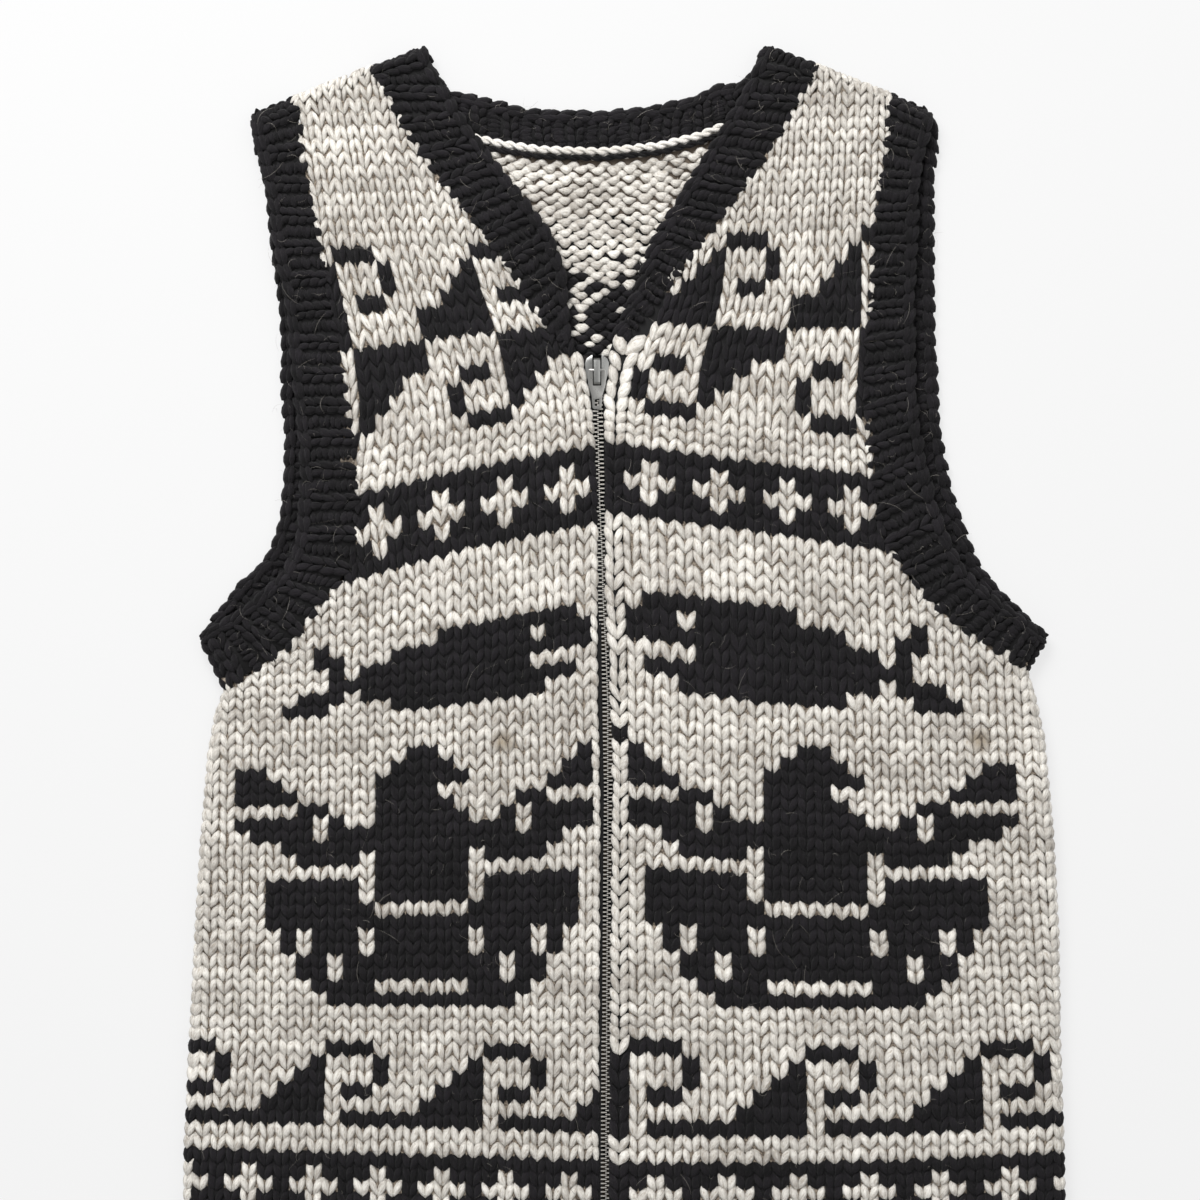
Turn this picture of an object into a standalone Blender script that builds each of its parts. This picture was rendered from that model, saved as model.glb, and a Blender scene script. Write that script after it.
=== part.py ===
"""Hand-knitted wool vest with a front zip, laid flat on its back.

Metres, +Z up off the surface, +Y towards the neck, +X towards the wearer's left front.
The origin is under the middle of the vest's outline, on the surface it lies on.
All sizes below are millimetres and are scaled once, where a mesh is made.
"""

import math
from collections import namedtuple

import bmesh
import bpy
from mathutils import Matrix, Vector

MM = 0.001

# The cloth: two knitted layers lie on each other and turn over at the sides and shoulders.
WALL = 6.0
LAYER_GAP = 0.3
BACK_TOP = WALL
FRONT_UNDER = BACK_TOP + LAYER_GAP
FRONT_TOP = FRONT_UNDER + WALL
FOLD_LEVEL = BACK_TOP + LAYER_GAP / 2
FOLD_OUTER = FOLD_LEVEL
FOLD_INNER = LAYER_GAP / 2
SEAM_GAP = 0.5
FOLD_LIP = 0.5

# The ribbed bands: ridges across the strip and a chained edge along its free side.
RIB_PITCH = 8.8
RIB_HEIGHT = 1.2
CHAIN_WIDTH = 8.0
CHAIN_HEIGHT = 1.0
HEM_DEPTH = 23.1

# The back's armholes lie outside the front's: how far at the most, and how low that place is.
Show = namedtuple("Show", "reach low")
BACK_SHOWS_RIGHT = Show(14.0, 2.1)
BACK_SHOWS_LEFT = Show(12.6, 0.87)

# The zip: chain, tapes, slider and pull tab, in the slit between the fronts.
CHAIN_HALF = 3.0
CHAIN_LOW = 7.4
CHAIN_HIGH = 9.6
TAPE_THICK = 0.8
TAPE_AT_CHAIN = 8.1
TAPE_UNDER_FRONT = 6.8
TAPE_INNER = 3.4
TAPE_OUTER = 15.0
ZIP_FOOT = -330.0
ZIP_TOP = 166.0
PIVOT = (-15.4, 157.8, 12.1)

# Grid spacing of the panels.
ROW_STEP = 27.0
COLUMN_STEP = 26.0

# A row of the knitting: where it meets the zip or neck seam, where it meets the side fold or
# armhole seam, and, above the underarm, the free edges of the armhole and neck bands beside it.
Row = namedtuple("Row", "inner outer arm_edge neck_edge", defaults=(None, None))

RIGHT_ROWS = (
    Row((-16.5, -314), (-244, -306)),
    Row((-16, -277), (-244, -270)),
    Row((-15, -214), (-241, -210)),
    Row((-15, -153), (-238, -153)),
    Row((-15, -95), (-235, -103)),
    Row((-15, -38), (-231, -55)),
    Row((-15, -13), (-227, -32)),
    Row((-16, 4), (-222, -18), (-234, 14)),
    Row((-16, 19), (-206, -7), (-225, 19)),
    Row((-17, 31), (-193, 1), (-216, 24)),
    Row((-18, 42), (-183, 9), (-208, 30)),
    Row((-18, 55), (-174, 22), (-201, 36)),
    Row((-18, 67), (-166, 33), (-194, 42)),
    Row((-19, 78), (-157, 43), (-188, 49)),
    Row((-19, 92), (-151, 56), (-183, 59)),
    Row((-20, 111), (-149, 75), (-180, 75)),
    Row((-21, 133), (-149, 98), (-179, 98)),
    Row((-23, 151), (-151, 119), (-180, 119)),
    Row((-24, 163), (-154, 141), (-183, 141)),
    Row((-32, 170), (-159, 169), (-185, 169), (-30, 175)),
    Row((-52, 196), (-164, 198), (-188, 196), (-32, 212)),
    Row((-66, 220), (-169, 228), (-194, 228), (-40, 234)),
    Row((-84, 243), (-174, 251), (-197, 252), (-56, 255)),
    Row((-106, 270), (-178, 274), (-201, 272), (-75, 279)),
    Row((-122, 294), (-180, 292), (-205, 284), (-88, 297)),
    Row((-132, 315), (-182, 303), (-206, 293), (-98, 313)),
    Row((-141, 327), (-183, 310), (-207, 299), (-115, 346)),
)

LEFT_ROWS = (
    Row((-4.5, -314), (244, -306)),
    Row((-6, -277), (243, -270)),
    Row((-4, -214), (241, -210)),
    Row((-4, -153), (240, -150)),
    Row((-4, -95), (237, -95)),
    Row((-4, -38), (232, -43)),
    Row((-4, -13), (227, -21)),
    Row((-6, 4), (223, -8), (234, 13)),
    Row((-6, 19), (211, 1), (224, 19)),
    Row((-7, 31), (198, 9), (215, 26)),
    Row((-7, 42), (186, 17), (205, 33)),
    Row((-8, 55), (175, 25), (196, 40)),
    Row((-8, 67), (166, 35), (189, 48)),
    Row((-8, 78), (157, 46), (183, 58)),
    Row((-9, 92), (149, 57), (177, 72)),
    Row((-9, 111), (142, 71), (171, 87)),
    Row((-9, 130), (138, 92), (166, 107)),
    Row((-8, 149), (135, 114), (163, 126)),
    Row((-7, 164), (134, 139), (161, 146)),
    Row((-2, 174), (134, 169), (160, 172), (-7, 179)),
    Row((16, 195), (136, 196), (160, 199), (5, 203)),
    Row((34, 219), (138, 225), (161, 225), (14, 229)),
    Row((51, 241), (140, 250), (162, 251), (25, 247)),
    Row((73, 271), (144, 275), (164, 271), (43, 276)),
    Row((88, 295), (146, 293), (168, 285), (57, 299)),
    Row((99, 316), (147, 304), (170, 293), (67, 316)),
    Row((106, 328), (147, 312), (170, 300), (80, 347)),
)
UNDERARM = 7
NECK_START = 19

# The back neck between the two shoulders: the seam to the back, the band's free edge, and
# whether the stretch shows between the fronts and so has its ribs raised.
NeckRow = namedtuple("NeckRow", "seam edge shows")
BACK_NECK = (
    NeckRow((-128, 311), (-103, 322), False),
    NeckRow((-110, 297), (-98, 314), False),
    NeckRow((-81, 286), (-80, 310), True),
    NeckRow((-52, 283), (-53, 303), True),
    NeckRow((-14, 281), (-14, 302), True),
    NeckRow((14, 283), (16, 305), True),
    NeckRow((33, 288), (35, 309), True),
    NeckRow((53, 294), (50, 316), True),
    NeckRow((74, 303), (62, 317), False),
    NeckRow((92, 314), (68, 322), False),
)

# The zip's middle line, from the foot of the hem to the neck: (x, y).
ZIP_LINE = (
    (-10.5, -339),
    (-10.5, -278),
    (-10.0, -189),
    (-9.5, -112),
    (-9.5, -24),
    (-10.5, 4),
    (-12.0, 31),
    (-12.5, 53),
    (-14.0, 86),
    (-15.0, 136),
    (-15.4, 158),
    (-15.4, 172),
)

# Soft ridges and troughs of the front as it lies: middle, direction, half length, half width, height.
Fold = namedtuple("Fold", "x y angle reach spread height")
SOFT_FOLDS = (
    Fold(-205, -40, 48, 55, 9, -1.1),
    Fold(-178, -62, 40, 60, 12, 0.7),
    Fold(200, -28, 132, 50, 10, -1.0),
    Fold(172, -52, 140, 60, 13, 0.7),
    Fold(8, -60, 88, 120, 8, 0.8),
    Fold(22, -190, 90, 90, 9, -0.7),
    Fold(-226, -150, 91, 130, 10, 0.9),
    Fold(226, -150, 90, 130, 11, 0.9),
    Fold(-120, 128, 20, 60, 16, 0.6),
    Fold(104, 118, 160, 55, 15, 0.6),
    Fold(-60, -255, 4, 90, 10, -0.5),
    Fold(120, -240, 176, 100, 12, -0.6),
)

# Materials ---------------------------------------------------------------------------------


def finish(name, colour, roughness, metallic=0.0):
    """One sub-part's own finish."""
    material = bpy.data.materials.new(name)
    material.use_nodes = True
    shader = material.node_tree.nodes["Principled BSDF"]
    shader.inputs["Base Color"].default_value = (*colour, 1.0)
    shader.inputs["Roughness"].default_value = roughness
    shader.inputs["Metallic"].default_value = metallic
    return material


CREAM = (0.60, 0.56, 0.49)
BLACK = (0.010, 0.010, 0.012)
TAPE_BLACK = (0.015, 0.014, 0.015)
NICKEL = (0.55, 0.55, 0.56)

# Lines -------------------------------------------------------------------------------------


def lerp(a, b, t):
    return tuple(p + (q - p) * t for p, q in zip(a, b))


def distance(a, b):
    return math.dist(a, b)


def spline(points, position):
    """A point on a smooth curve through the points, at a position counted in points."""
    last = len(points) - 1
    index = min(int(position), last - 1)
    t = position - index
    before = points[max(index - 1, 0)]
    start, end = points[index], points[index + 1]
    after = points[min(index + 2, last)]
    return tuple(
        0.5 * (2 * s + (e - b) * t + (2 * b - 5 * s + 4 * e - a) * t * t + (3 * s - b - 3 * e + a) * t ** 3)
        for b, s, e, a in zip(before, start, end, after)
    )


def on_line(line, position):
    """A point on the straight runs between a line's points, at a position counted in points."""
    index = min(int(position), len(line) - 2)
    return lerp(line[index], line[index + 1], position - index)


def steps_along(line, first, last, spacing):
    """Positions at even lengths along a line, from one position to another."""
    fine = 24
    count = max(2, int(abs(last - first) * fine))
    places = [first + (last - first) * k / count for k in range(count + 1)]
    lengths = [0.0]
    for a, b in zip(places, places[1:]):
        lengths.append(lengths[-1] + distance(on_line(line, a), on_line(line, b)))
    wanted = max(1, round(lengths[-1] / spacing))
    found = []
    k = 0
    for step in range(wanted + 1):
        target = lengths[-1] * step / wanted
        while k < count - 1 and lengths[k + 1] < target:
            k += 1
        share = (target - lengths[k]) / max(lengths[k + 1] - lengths[k], 1e-9)
        found.append(places[k] + (places[k + 1] - places[k]) * min(max(share, 0.0), 1.0))
    return found


def place_from_end(line, length, from_start):
    """The position on a line at this length from one of its ends."""
    ends = line if from_start else line[::-1]
    walked = 0.0
    for index, (a, b) in enumerate(zip(ends, ends[1:])):
        run = distance(a, b)
        if walked + run >= length:
            position = index + (length - walked) / run
            return position if from_start else len(line) - 1 - position
        walked += run
    return 0.0


def zip_x(y):
    """The zip's middle line at this height up the vest."""
    for (x0, y0), (x1, y1) in zip(ZIP_LINE, ZIP_LINE[1:]):
        if y <= y1:
            return x0 + (x1 - x0) * (y - y0) / (y1 - y0)
    return ZIP_LINE[-1][0]


def line_distance(point, line):
    """How far a point is from a line of straight runs."""
    best = math.inf
    for a, b in zip(line, line[1:]):
        ab = (b[0] - a[0], b[1] - a[1])
        along = ((point[0] - a[0]) * ab[0] + (point[1] - a[1]) * ab[1]) / (ab[0] ** 2 + ab[1] ** 2)
        along = min(max(along, 0.0), 1.0)
        best = min(best, distance(point, (a[0] + ab[0] * along, a[1] + ab[1] * along)))
    return best


# Meshes ------------------------------------------------------------------------------------


def add_object(name, mesh, material):
    obj = bpy.data.objects.new(name, mesh)
    bpy.context.scene.collection.objects.link(obj)
    if not mesh.materials:
        mesh.materials.append(material)
    mesh.shade_smooth()
    mesh.set_sharp_from_angle(angle=math.radians(35))
    return obj


def mesh_of(name, points, faces):
    """A mesh from millimetre points, with its faces turned outwards."""
    mesh = bpy.data.meshes.new(name)
    mesh.from_pydata([Vector(p) * MM for p in points], [], faces)
    work = bmesh.new()
    work.from_mesh(mesh)
    bmesh.ops.recalc_face_normals(work, faces=work.faces)
    work.to_mesh(mesh)
    work.free()
    return mesh


def panel(name, upper, lower, material):
    """A cloth wall between two grids of points, one over the other."""
    rows, columns = len(upper), len(upper[0])
    points = [p for row in upper for p in row] + [p for row in lower for p in row]
    under = rows * columns

    def at(row, column):
        return row * columns + column

    faces = []
    for r in range(rows - 1):
        for c in range(columns - 1):
            cell = (at(r, c), at(r, c + 1), at(r + 1, c + 1), at(r + 1, c))
            faces.append(cell)
            faces.append(tuple(under + k for k in reversed(cell)))
    rim = [at(0, c) for c in range(columns)]
    rim += [at(r, columns - 1) for r in range(1, rows)]
    rim += [at(rows - 1, c) for c in range(columns - 2, -1, -1)]
    rim += [at(r, 0) for r in range(rows - 2, 0, -1)]
    for a, b in zip(rim, rim[1:] + rim[:1]):
        faces.append((b, a, under + a, under + b))
    return add_object(name, mesh_of(name, points, faces), material)


def tube(name, rings, material, closed=False):
    """A solid skinned over rings of points, capped at both ends unless it closes on itself."""
    size = len(rings[0])
    points = [p for ring in rings for p in ring]
    faces = []
    pairs = list(zip(range(len(rings)), range(1, len(rings))))
    if closed:
        pairs.append((len(rings) - 1, 0))
    else:
        faces.append(tuple(range(size)))
        faces.append(tuple(reversed(range(len(points) - size, len(points)))))
    for a, b in pairs:
        for k in range(size):
            n = (k + 1) % size
            faces.append((a * size + k, a * size + n, b * size + n, b * size + k))
    return add_object(name, mesh_of(name, points, faces), material)


def prism(name, outline, low, high, material):
    """A plate of this outline between two heights."""
    rings = [[(x, y, z) for x, y in outline] for z in (low, high)]
    return tube(name, rings, material)


# The knitted fronts --------------------------------------------------------------------------


def grid_rows(*tables):
    """Positions in the tables of rows, close enough together for every panel's grid."""
    found = []
    for index in range(len(tables[0]) - 1):
        longest = 0.0
        for rows in tables:
            a, b = rows[index], rows[index + 1]
            longest = max(longest, distance(a.inner, b.inner), distance(a.outer, b.outer))
        parts = max(1, math.ceil(longest / ROW_STEP))
        found += [index + k / parts for k in range(parts)]
    last = len(tables[0]) - 1.0
    return found + [last - 0.42, last - 0.14, last - 0.045, last]


def rounded_drop(depth):
    """How far the top surface has come down at this depth in from a fold."""
    inside = max(0.0, FOLD_OUTER - depth)
    full = FOLD_OUTER - math.sqrt(max(0.0, FOLD_OUTER ** 2 - inside ** 2))
    return min(full, WALL - FOLD_LIP)


def soft_relief(x, y):
    """The soft ridges and troughs at this point of the front."""
    height = 0.0
    for fold in SOFT_FOLDS:
        turn = math.radians(fold.angle)
        along = (x - fold.x) * math.cos(turn) + (y - fold.y) * math.sin(turn)
        across = -(x - fold.x) * math.sin(turn) + (y - fold.y) * math.cos(turn)
        shape = math.exp(-((across / fold.spread) ** 2) - (along / fold.reach) ** 4)
        height += fold.height * shape
    return height


def zip_side_lift(x, y):
    """How far the cloth's underside is raised over the zip tape."""
    if y > ZIP_TOP + 8:
        return 0.0
    from_chain = abs(x - zip_x(y))
    at_edge = 9.2 - FRONT_UNDER
    over_tape = 7.9 - FRONT_UNDER
    if from_chain < 9.0:
        return at_edge + (over_tape - at_edge) * max(0.0, (from_chain - 5.0) / 4.0)
    return over_tape * min(1.0, max(0.0, (32.0 - from_chain) / 6.0))


def column_depths(width):
    """Distances in from the inner edge, close together at the zip and at the folded side."""
    near = [0.0, 4.0, 11.5, 17.0]
    far = [width - d for d in (FOLD_OUTER, 2.3, 0.8, 0.0)]
    between = COLUMNS_BETWEEN
    middle = [near[-1] + (far[0] - near[-1]) * k / between for k in range(1, between)]
    return near + middle + far


COLUMNS_BETWEEN = 7


def front_panel(name, rows, positions):
    inner = [row.inner for row in rows]
    outer = [row.outer for row in rows]
    side = [on_line([spline(outer, p) for p in positions], k) for k, p in enumerate(positions) if p <= UNDERARM]
    shoulder = [inner[-1], outer[-1]]
    upper, lower = [], []
    for position in positions:
        a, b = spline(inner, position), spline(outer, position)
        width = distance(a, b)
        top, under = [], []
        for depth in column_depths(width):
            x, y = lerp(a, b, depth / width)
            fold_depth = min(line_distance((x, y), side), line_distance((x, y), shoulder))
            drop = rounded_drop(fold_depth)
            calm = min(1.0, fold_depth / (2 * FOLD_OUTER))
            valley = 0.6 * math.exp(-(((x - zip_x(y)) / 14) ** 2)) if y < ZIP_TOP else 0.0
            lip = WALL - FOLD_LIP
            top.append((x, y, FRONT_TOP - min(lip, drop) + calm * (soft_relief(x, y) - valley)))
            under.append((x, y, FRONT_UNDER + zip_side_lift(x, y)))
        upper.append(top)
        lower.append(under)
    panel(name, upper, lower, finish(name + "_wool", CREAM, 0.95))


# The strips: armhole bands, neck band and hem -------------------------------------------------


def strip_ring(seam, edge, turn, outward, ridge, inner_lift=0.0, chain=1.0, face_up=True):
    """One section across a strip, from its seam to its free edge.

    turn is the section's angle round a fold: a quarter turn up for the front layer, down for the
    back layer. ridge, 0 to 1, raises the ribs, on the outer face or, face_up False, on the inner.
    """
    width = distance(seam, edge)
    lift = math.sin(turn)
    level = max(0.0, lift)

    def at(across, radius):
        x, y = lerp(seam, edge, across / width)
        reach = radius * math.cos(turn)
        return (x + outward[0] * reach, y + outward[1] * reach, FOLD_LEVEL + radius * lift)

    bead = min(CHAIN_WIDTH, width * 0.4)
    outer = FOLD_OUTER
    inner = FOLD_INNER + inner_lift
    rib = RIB_HEIGHT * ridge * level
    bead_rise = CHAIN_HEIGHT * chain * level
    inside = RIB_HEIGHT * ridge if not face_up else 0.0
    return [
        at(0.0, outer + rib * 0.3),
        at(width * 0.3, outer + rib),
        at(width - bead, outer + rib * 0.6),
        at(width - bead * 0.5, outer + bead_rise),
        at(width, outer - 2.0 * level),
        at(width, inner),
        at(width * 0.5, inner - inside),
        at(0.0, inner),
    ]


def edge_gap(seam, edge):
    """The seam point moved off the panel by the seam's gap."""
    return lerp(seam, edge, SEAM_GAP / distance(seam, edge))


def fold_rings(seam, edge, outward, downward, chain=1.0):
    """The half turn where a strip folds over from one layer to the other."""
    turns = [60, 30, 0, -30, -60]
    if not downward:
        turns.reverse()
    return [strip_ring(seam, edge, math.radians(t), outward, 0.0, chain=chain) for t in turns]


def unit(a, b):
    length = distance(a, b)
    return ((b[0] - a[0]) / length, (b[1] - a[1]) / length)


UP, DOWN = math.pi / 2, -math.pi / 2


def stretch(seam_line, edge_line, first, last, turn, face_up=True, shows=None):
    """The sections of one flat stretch of a ribbed strip, without its folds."""
    rings = []
    for k, position in enumerate(steps_along(seam_line, first, last, RIB_PITCH / 2)):
        seam, edge = on_line(seam_line, position), on_line(edge_line, position)
        ridge = k % 2
        if shows is not None and not shows(position):
            ridge = 0
        rings.append(strip_ring(edge_gap(seam, edge), edge, turn, (0, 0), ridge, face_up=face_up))
    return rings


def plain_stretch(seam_line, edge_line, first, last):
    """A stretch without ribs, down the back from one position to a lower one."""
    between = range(math.ceil(first) - 1, math.floor(last), -1)
    rings = []
    for position in [first, *between, last]:
        seam, edge = on_line(seam_line, position), on_line(edge_line, position)
        rings.append(strip_ring(edge_gap(seam, edge), edge, DOWN, (0, 0), 0))
    return rings


def back_shift(shows, share):
    """How far the back's armhole lies outside the front's, at a share of the way up it."""
    down = 1.0 - min(max(share, 0.0), 1.0)
    return shows.reach * math.sin(math.pi * down ** shows.low)


def armhole_lines(rows, positions, shows):
    """The seam and free edge of an armhole on the front and on the back, at the panel's rows."""
    used = [p for p in positions if p >= UNDERARM]
    outer = [row.outer for row in rows]
    edges = [row.arm_edge for row in rows[UNDERARM:]]
    seam = [spline(outer, p) for p in used]
    edge = [spline(edges, p - UNDERARM) for p in used]
    first = place_from_end(seam, FOLD_OUTER, True)
    last = place_from_end(seam, FOLD_OUTER, False)
    back_seam, back_edge = [], []
    for index, (a, b) in enumerate(zip(seam, edge)):
        share = (index - first - 1) / (last - first - 2)
        move = back_shift(shows, share)
        out = unit(a, b)
        back_seam.append((a[0] + out[0] * move, a[1] + out[1] * move))
        back_edge.append((b[0] + out[0] * move, b[1] + out[1] * move))
    return seam, edge, back_seam, back_edge, first, last


def armhole_band(name, lines):
    """A closed ring: up the front, over the shoulder, down the back, round the underarm."""
    seam, edge, back_seam, back_edge, first, last = lines
    rings = stretch(seam, edge, first, last, UP)
    top_seam, top_edge = on_line(seam, last), on_line(edge, last)
    over = unit(top_seam, seam[-1])
    rings += fold_rings(edge_gap(top_seam, top_edge), top_edge, over, True)
    rings += plain_stretch(back_seam, back_edge, last, first)
    low_seam, low_edge = on_line(seam, first), on_line(edge, first)
    under = unit(low_seam, seam[0])
    rings += fold_rings(edge_gap(low_seam, low_edge), low_edge, under, False)
    tube(name, rings, finish(name + "_wool", BLACK, 0.95), closed=True)


def neck_lines(rows, positions):
    """The seam and free edge of the neck band on one front, at the panel's rows."""
    used = [p for p in positions if p >= NECK_START]
    inner = [row.inner for row in rows]
    edges = [row.neck_edge for row in rows[NECK_START:]]
    return [spline(inner, p) for p in used], [spline(edges, p - NECK_START) for p in used]


def neck_band(right, left):
    """One strip: up the right front's neck edge, round the back neck, down the left front's."""
    seam, edge = right
    last = place_from_end(seam, FOLD_OUTER, False)
    rings = stretch(seam, edge, 0.0, last, UP)
    start_seam, start_edge = on_line(seam, last), on_line(edge, last)
    rings += fold_rings(edge_gap(start_seam, start_edge), start_edge, unit(start_seam, seam[-1]), True)

    seam, edge = left
    left_last = place_from_end(seam, FOLD_OUTER, False)
    end_seam, end_edge = on_line(seam, left_last), on_line(edge, left_last)
    back_seam = [start_seam] + [row.seam for row in BACK_NECK] + [end_seam]
    back_edge = [start_edge] + [row.edge for row in BACK_NECK] + [end_edge]
    showing = [k + 1 for k, row in enumerate(BACK_NECK) if row.shows]

    def shows(position):
        return showing[0] <= position <= showing[-1]

    rings += stretch(back_seam, back_edge, 0.0, len(back_seam) - 1.0, DOWN, False, shows)
    rings += fold_rings(edge_gap(end_seam, end_edge), end_edge, unit(end_seam, seam[-1]), False)
    rings += stretch(seam, edge, left_last, 0.0, UP)
    tube("neck_band", rings, finish("neck_band_wool", BLACK, 0.95))
    return back_seam


def hem_rib():
    """One strip along the foot of the vest, from zip edge to zip edge round the back."""
    half = RIB_PITCH / 2
    rings = []

    def run(first, last, turn, spacing, ribbed):
        """Sections along the hem between two points of its seam."""
        count = round(distance(first, last) / spacing)
        for k in range(count + 1):
            seam = lerp(first, last, k / count)
            edge = (seam[0], seam[1] - HEM_DEPTH)
            lift = zip_side_lift(*seam) if turn == UP else 0.0
            ridge = k % 2 if ribbed else 0
            rings.append(strip_ring(edge_gap(seam, edge), edge, turn, (0, 0), ridge, lift, chain=0.3))

    def turn_over(seam, outward, downward):
        edge = (seam[0], seam[1] - HEM_DEPTH)
        rings.extend(fold_rings(edge_gap(seam, edge), edge, outward, downward, chain=0.3))

    zip_right, side_right = RIGHT_ROWS[0].inner, RIGHT_ROWS[0].outer
    zip_left, side_left = LEFT_ROWS[0].inner, LEFT_ROWS[0].outer
    fold_right = lerp(side_right, zip_right, FOLD_OUTER / distance(side_right, zip_right))
    fold_left = lerp(side_left, zip_left, FOLD_OUTER / distance(side_left, zip_left))
    run(zip_right, fold_right, UP, half, True)
    turn_over(fold_right, (-1, 0), True)
    run(fold_right, hem_middle(), DOWN, 30.0, False)
    rings.pop()
    run(hem_middle(), fold_left, DOWN, 30.0, False)
    turn_over(fold_left, (1, 0), False)
    run(fold_left, zip_left, UP, half, True)
    tube("hem_rib", rings, finish("hem_rib_wool", BLACK, 0.95))


def hem_middle():
    return lerp(RIGHT_ROWS[0].inner, LEFT_ROWS[0].inner, 0.5)


# The back ------------------------------------------------------------------------------------


def back_panel(right, left, positions, neck_seam):
    """The back: its sides and armholes on the fronts' rows, its neckline from the neck seam."""
    sides = []
    for table, lines in ((RIGHT_ROWS, right), (LEFT_ROWS, left)):
        outer = [row.outer for row in table]
        below = [spline(outer, p) for p in positions if p < UNDERARM]
        sides.append(below + lines[2])
    right_side, left_side = sides
    right_corner, left_corner = RIGHT_ROWS[-1].inner, LEFT_ROWS[-1].inner
    top = [lerp(right_side[-1], right_corner, s) for s in (0, 0.02, 0.055, 0.15, 0.55)]
    top += [right_corner] + neck_seam + [left_corner]
    top += [lerp(left_corner, left_side[-1], s) for s in (0.45, 0.85, 0.945, 0.98, 1)]
    start, end = top[0], top[-1]
    shares = [(p[0] - start[0]) / (end[0] - start[0]) for p in top]
    foot_right, foot_left = right_side[0], left_side[0]
    sag = hem_middle()[1] - foot_right[1]

    fold = [k for k, p in enumerate(positions) if p <= UNDERARM][-1] + 1
    folds = (right_side[:fold], left_side[:fold], [start, right_corner], [left_corner, end])
    upper, lower = [], []
    for a, b in zip(right_side, left_side):
        v = 0.5 * ((a[1] - foot_right[1]) / (start[1] - foot_right[1]))
        v += 0.5 * ((b[1] - foot_left[1]) / (end[1] - foot_left[1]))
        top_row, under_row = [], []
        for u, head in zip(shares, top):
            foot = lerp(foot_right, foot_left, u)
            foot = (foot[0], foot[1] + sag * (1 - abs(2 * u - 1)))
            straight = lerp(a, b, u)
            corner = lerp(lerp(foot_right, foot_left, u), lerp(start, end, u), v)
            x = straight[0] + foot[0] * (1 - v) + head[0] * v - corner[0]
            y = straight[1] + foot[1] * (1 - v) + head[1] * v - corner[1]
            depth = min(line_distance((x, y), line) for line in folds)
            top_row.append((x, y, BACK_TOP))
            under_row.append((x, y, rounded_drop(depth)))
        upper.append(top_row)
        lower.append(under_row)
    panel("back", upper, lower, finish("back_wool", CREAM, 0.95))


# The zip -------------------------------------------------------------------------------------


def zip_tape(name, side):
    """A woven tape beside the chain, bent down under the front it is sewn to."""
    heights = [y for _, y in ZIP_LINE if ZIP_FOOT < y < ZIP_TOP]
    rings = []
    for y in [ZIP_FOOT + 9] + heights + [ZIP_TOP]:
        middle = zip_x(y)
        section = (
            (TAPE_INNER, TAPE_AT_CHAIN),
            (5.2, TAPE_AT_CHAIN),
            (9.5, TAPE_UNDER_FRONT),
            (TAPE_OUTER, TAPE_UNDER_FRONT),
        )
        low = [(middle + side * d, y, z) for d, z in section]
        high = [(middle + side * d, y, z + TAPE_THICK) for d, z in reversed(section)]
        rings.append(low + high)
    tube(name, rings, finish(name + "_cloth", TAPE_BLACK, 0.8))


def zip_chain():
    """The closed chain as a plain bar, from the retainer box into the slider's mouth."""
    top = PIVOT[1] - 6.5
    rings = []
    for y in [ZIP_FOOT + 9] + [y for _, y in ZIP_LINE if ZIP_FOOT + 9 < y < top] + [top]:
        middle = zip_x(y)
        rings.append(
            [
                (middle - CHAIN_HALF, y, CHAIN_LOW),
                (middle + CHAIN_HALF, y, CHAIN_LOW),
                (middle + CHAIN_HALF, y, CHAIN_HIGH),
                (middle - CHAIN_HALF, y, CHAIN_HIGH),
            ]
        )
    tube("zip_chain", rings, finish("zip_chain_metal", NICKEL, 0.35, 1.0))


def zip_box():
    """The retainer box that holds the foot of the chain."""
    middle = zip_x(ZIP_FOOT)
    half, bevel = 4.8, 1.2
    low, high = ZIP_FOOT - 1.5, ZIP_FOOT + 8.5
    outline = [
        (middle - half + bevel, low),
        (middle + half - bevel, low),
        (middle + half, low + bevel),
        (middle + half, high),
        (middle - half, high),
        (middle - half, low + bevel),
    ]
    prism("zip_box", outline, CHAIN_LOW - 0.5, CHAIN_HIGH + 0.6, finish("zip_box_metal", NICKEL, 0.35, 1.0))


# The slider's outline on its right half, from its crown to its mouth: (half width, y from the pivot).
SLIDER_HALF = (
    (3.0, 8.4),
    (5.6, 6.6),
    (6.6, 4.2),
    (6.3, -1.0),
    (4.9, -6.0),
    (4.4, -9.6),
)
PLATE = 0.7
SLIDER_TOP = CHAIN_HIGH + 1.0
SLIDER_FOOT = CHAIN_LOW - 1.0


def union(base, others):
    """Joins hidden solids to a base with Boolean modifiers."""
    for other in others:
        other.hide_render = True
        other.display_type = "WIRE"
        join = base.modifiers.new("join_" + other.name, "BOOLEAN")
        join.operation = "UNION"
        join.solver = "EXACT"
        join.object = other


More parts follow.
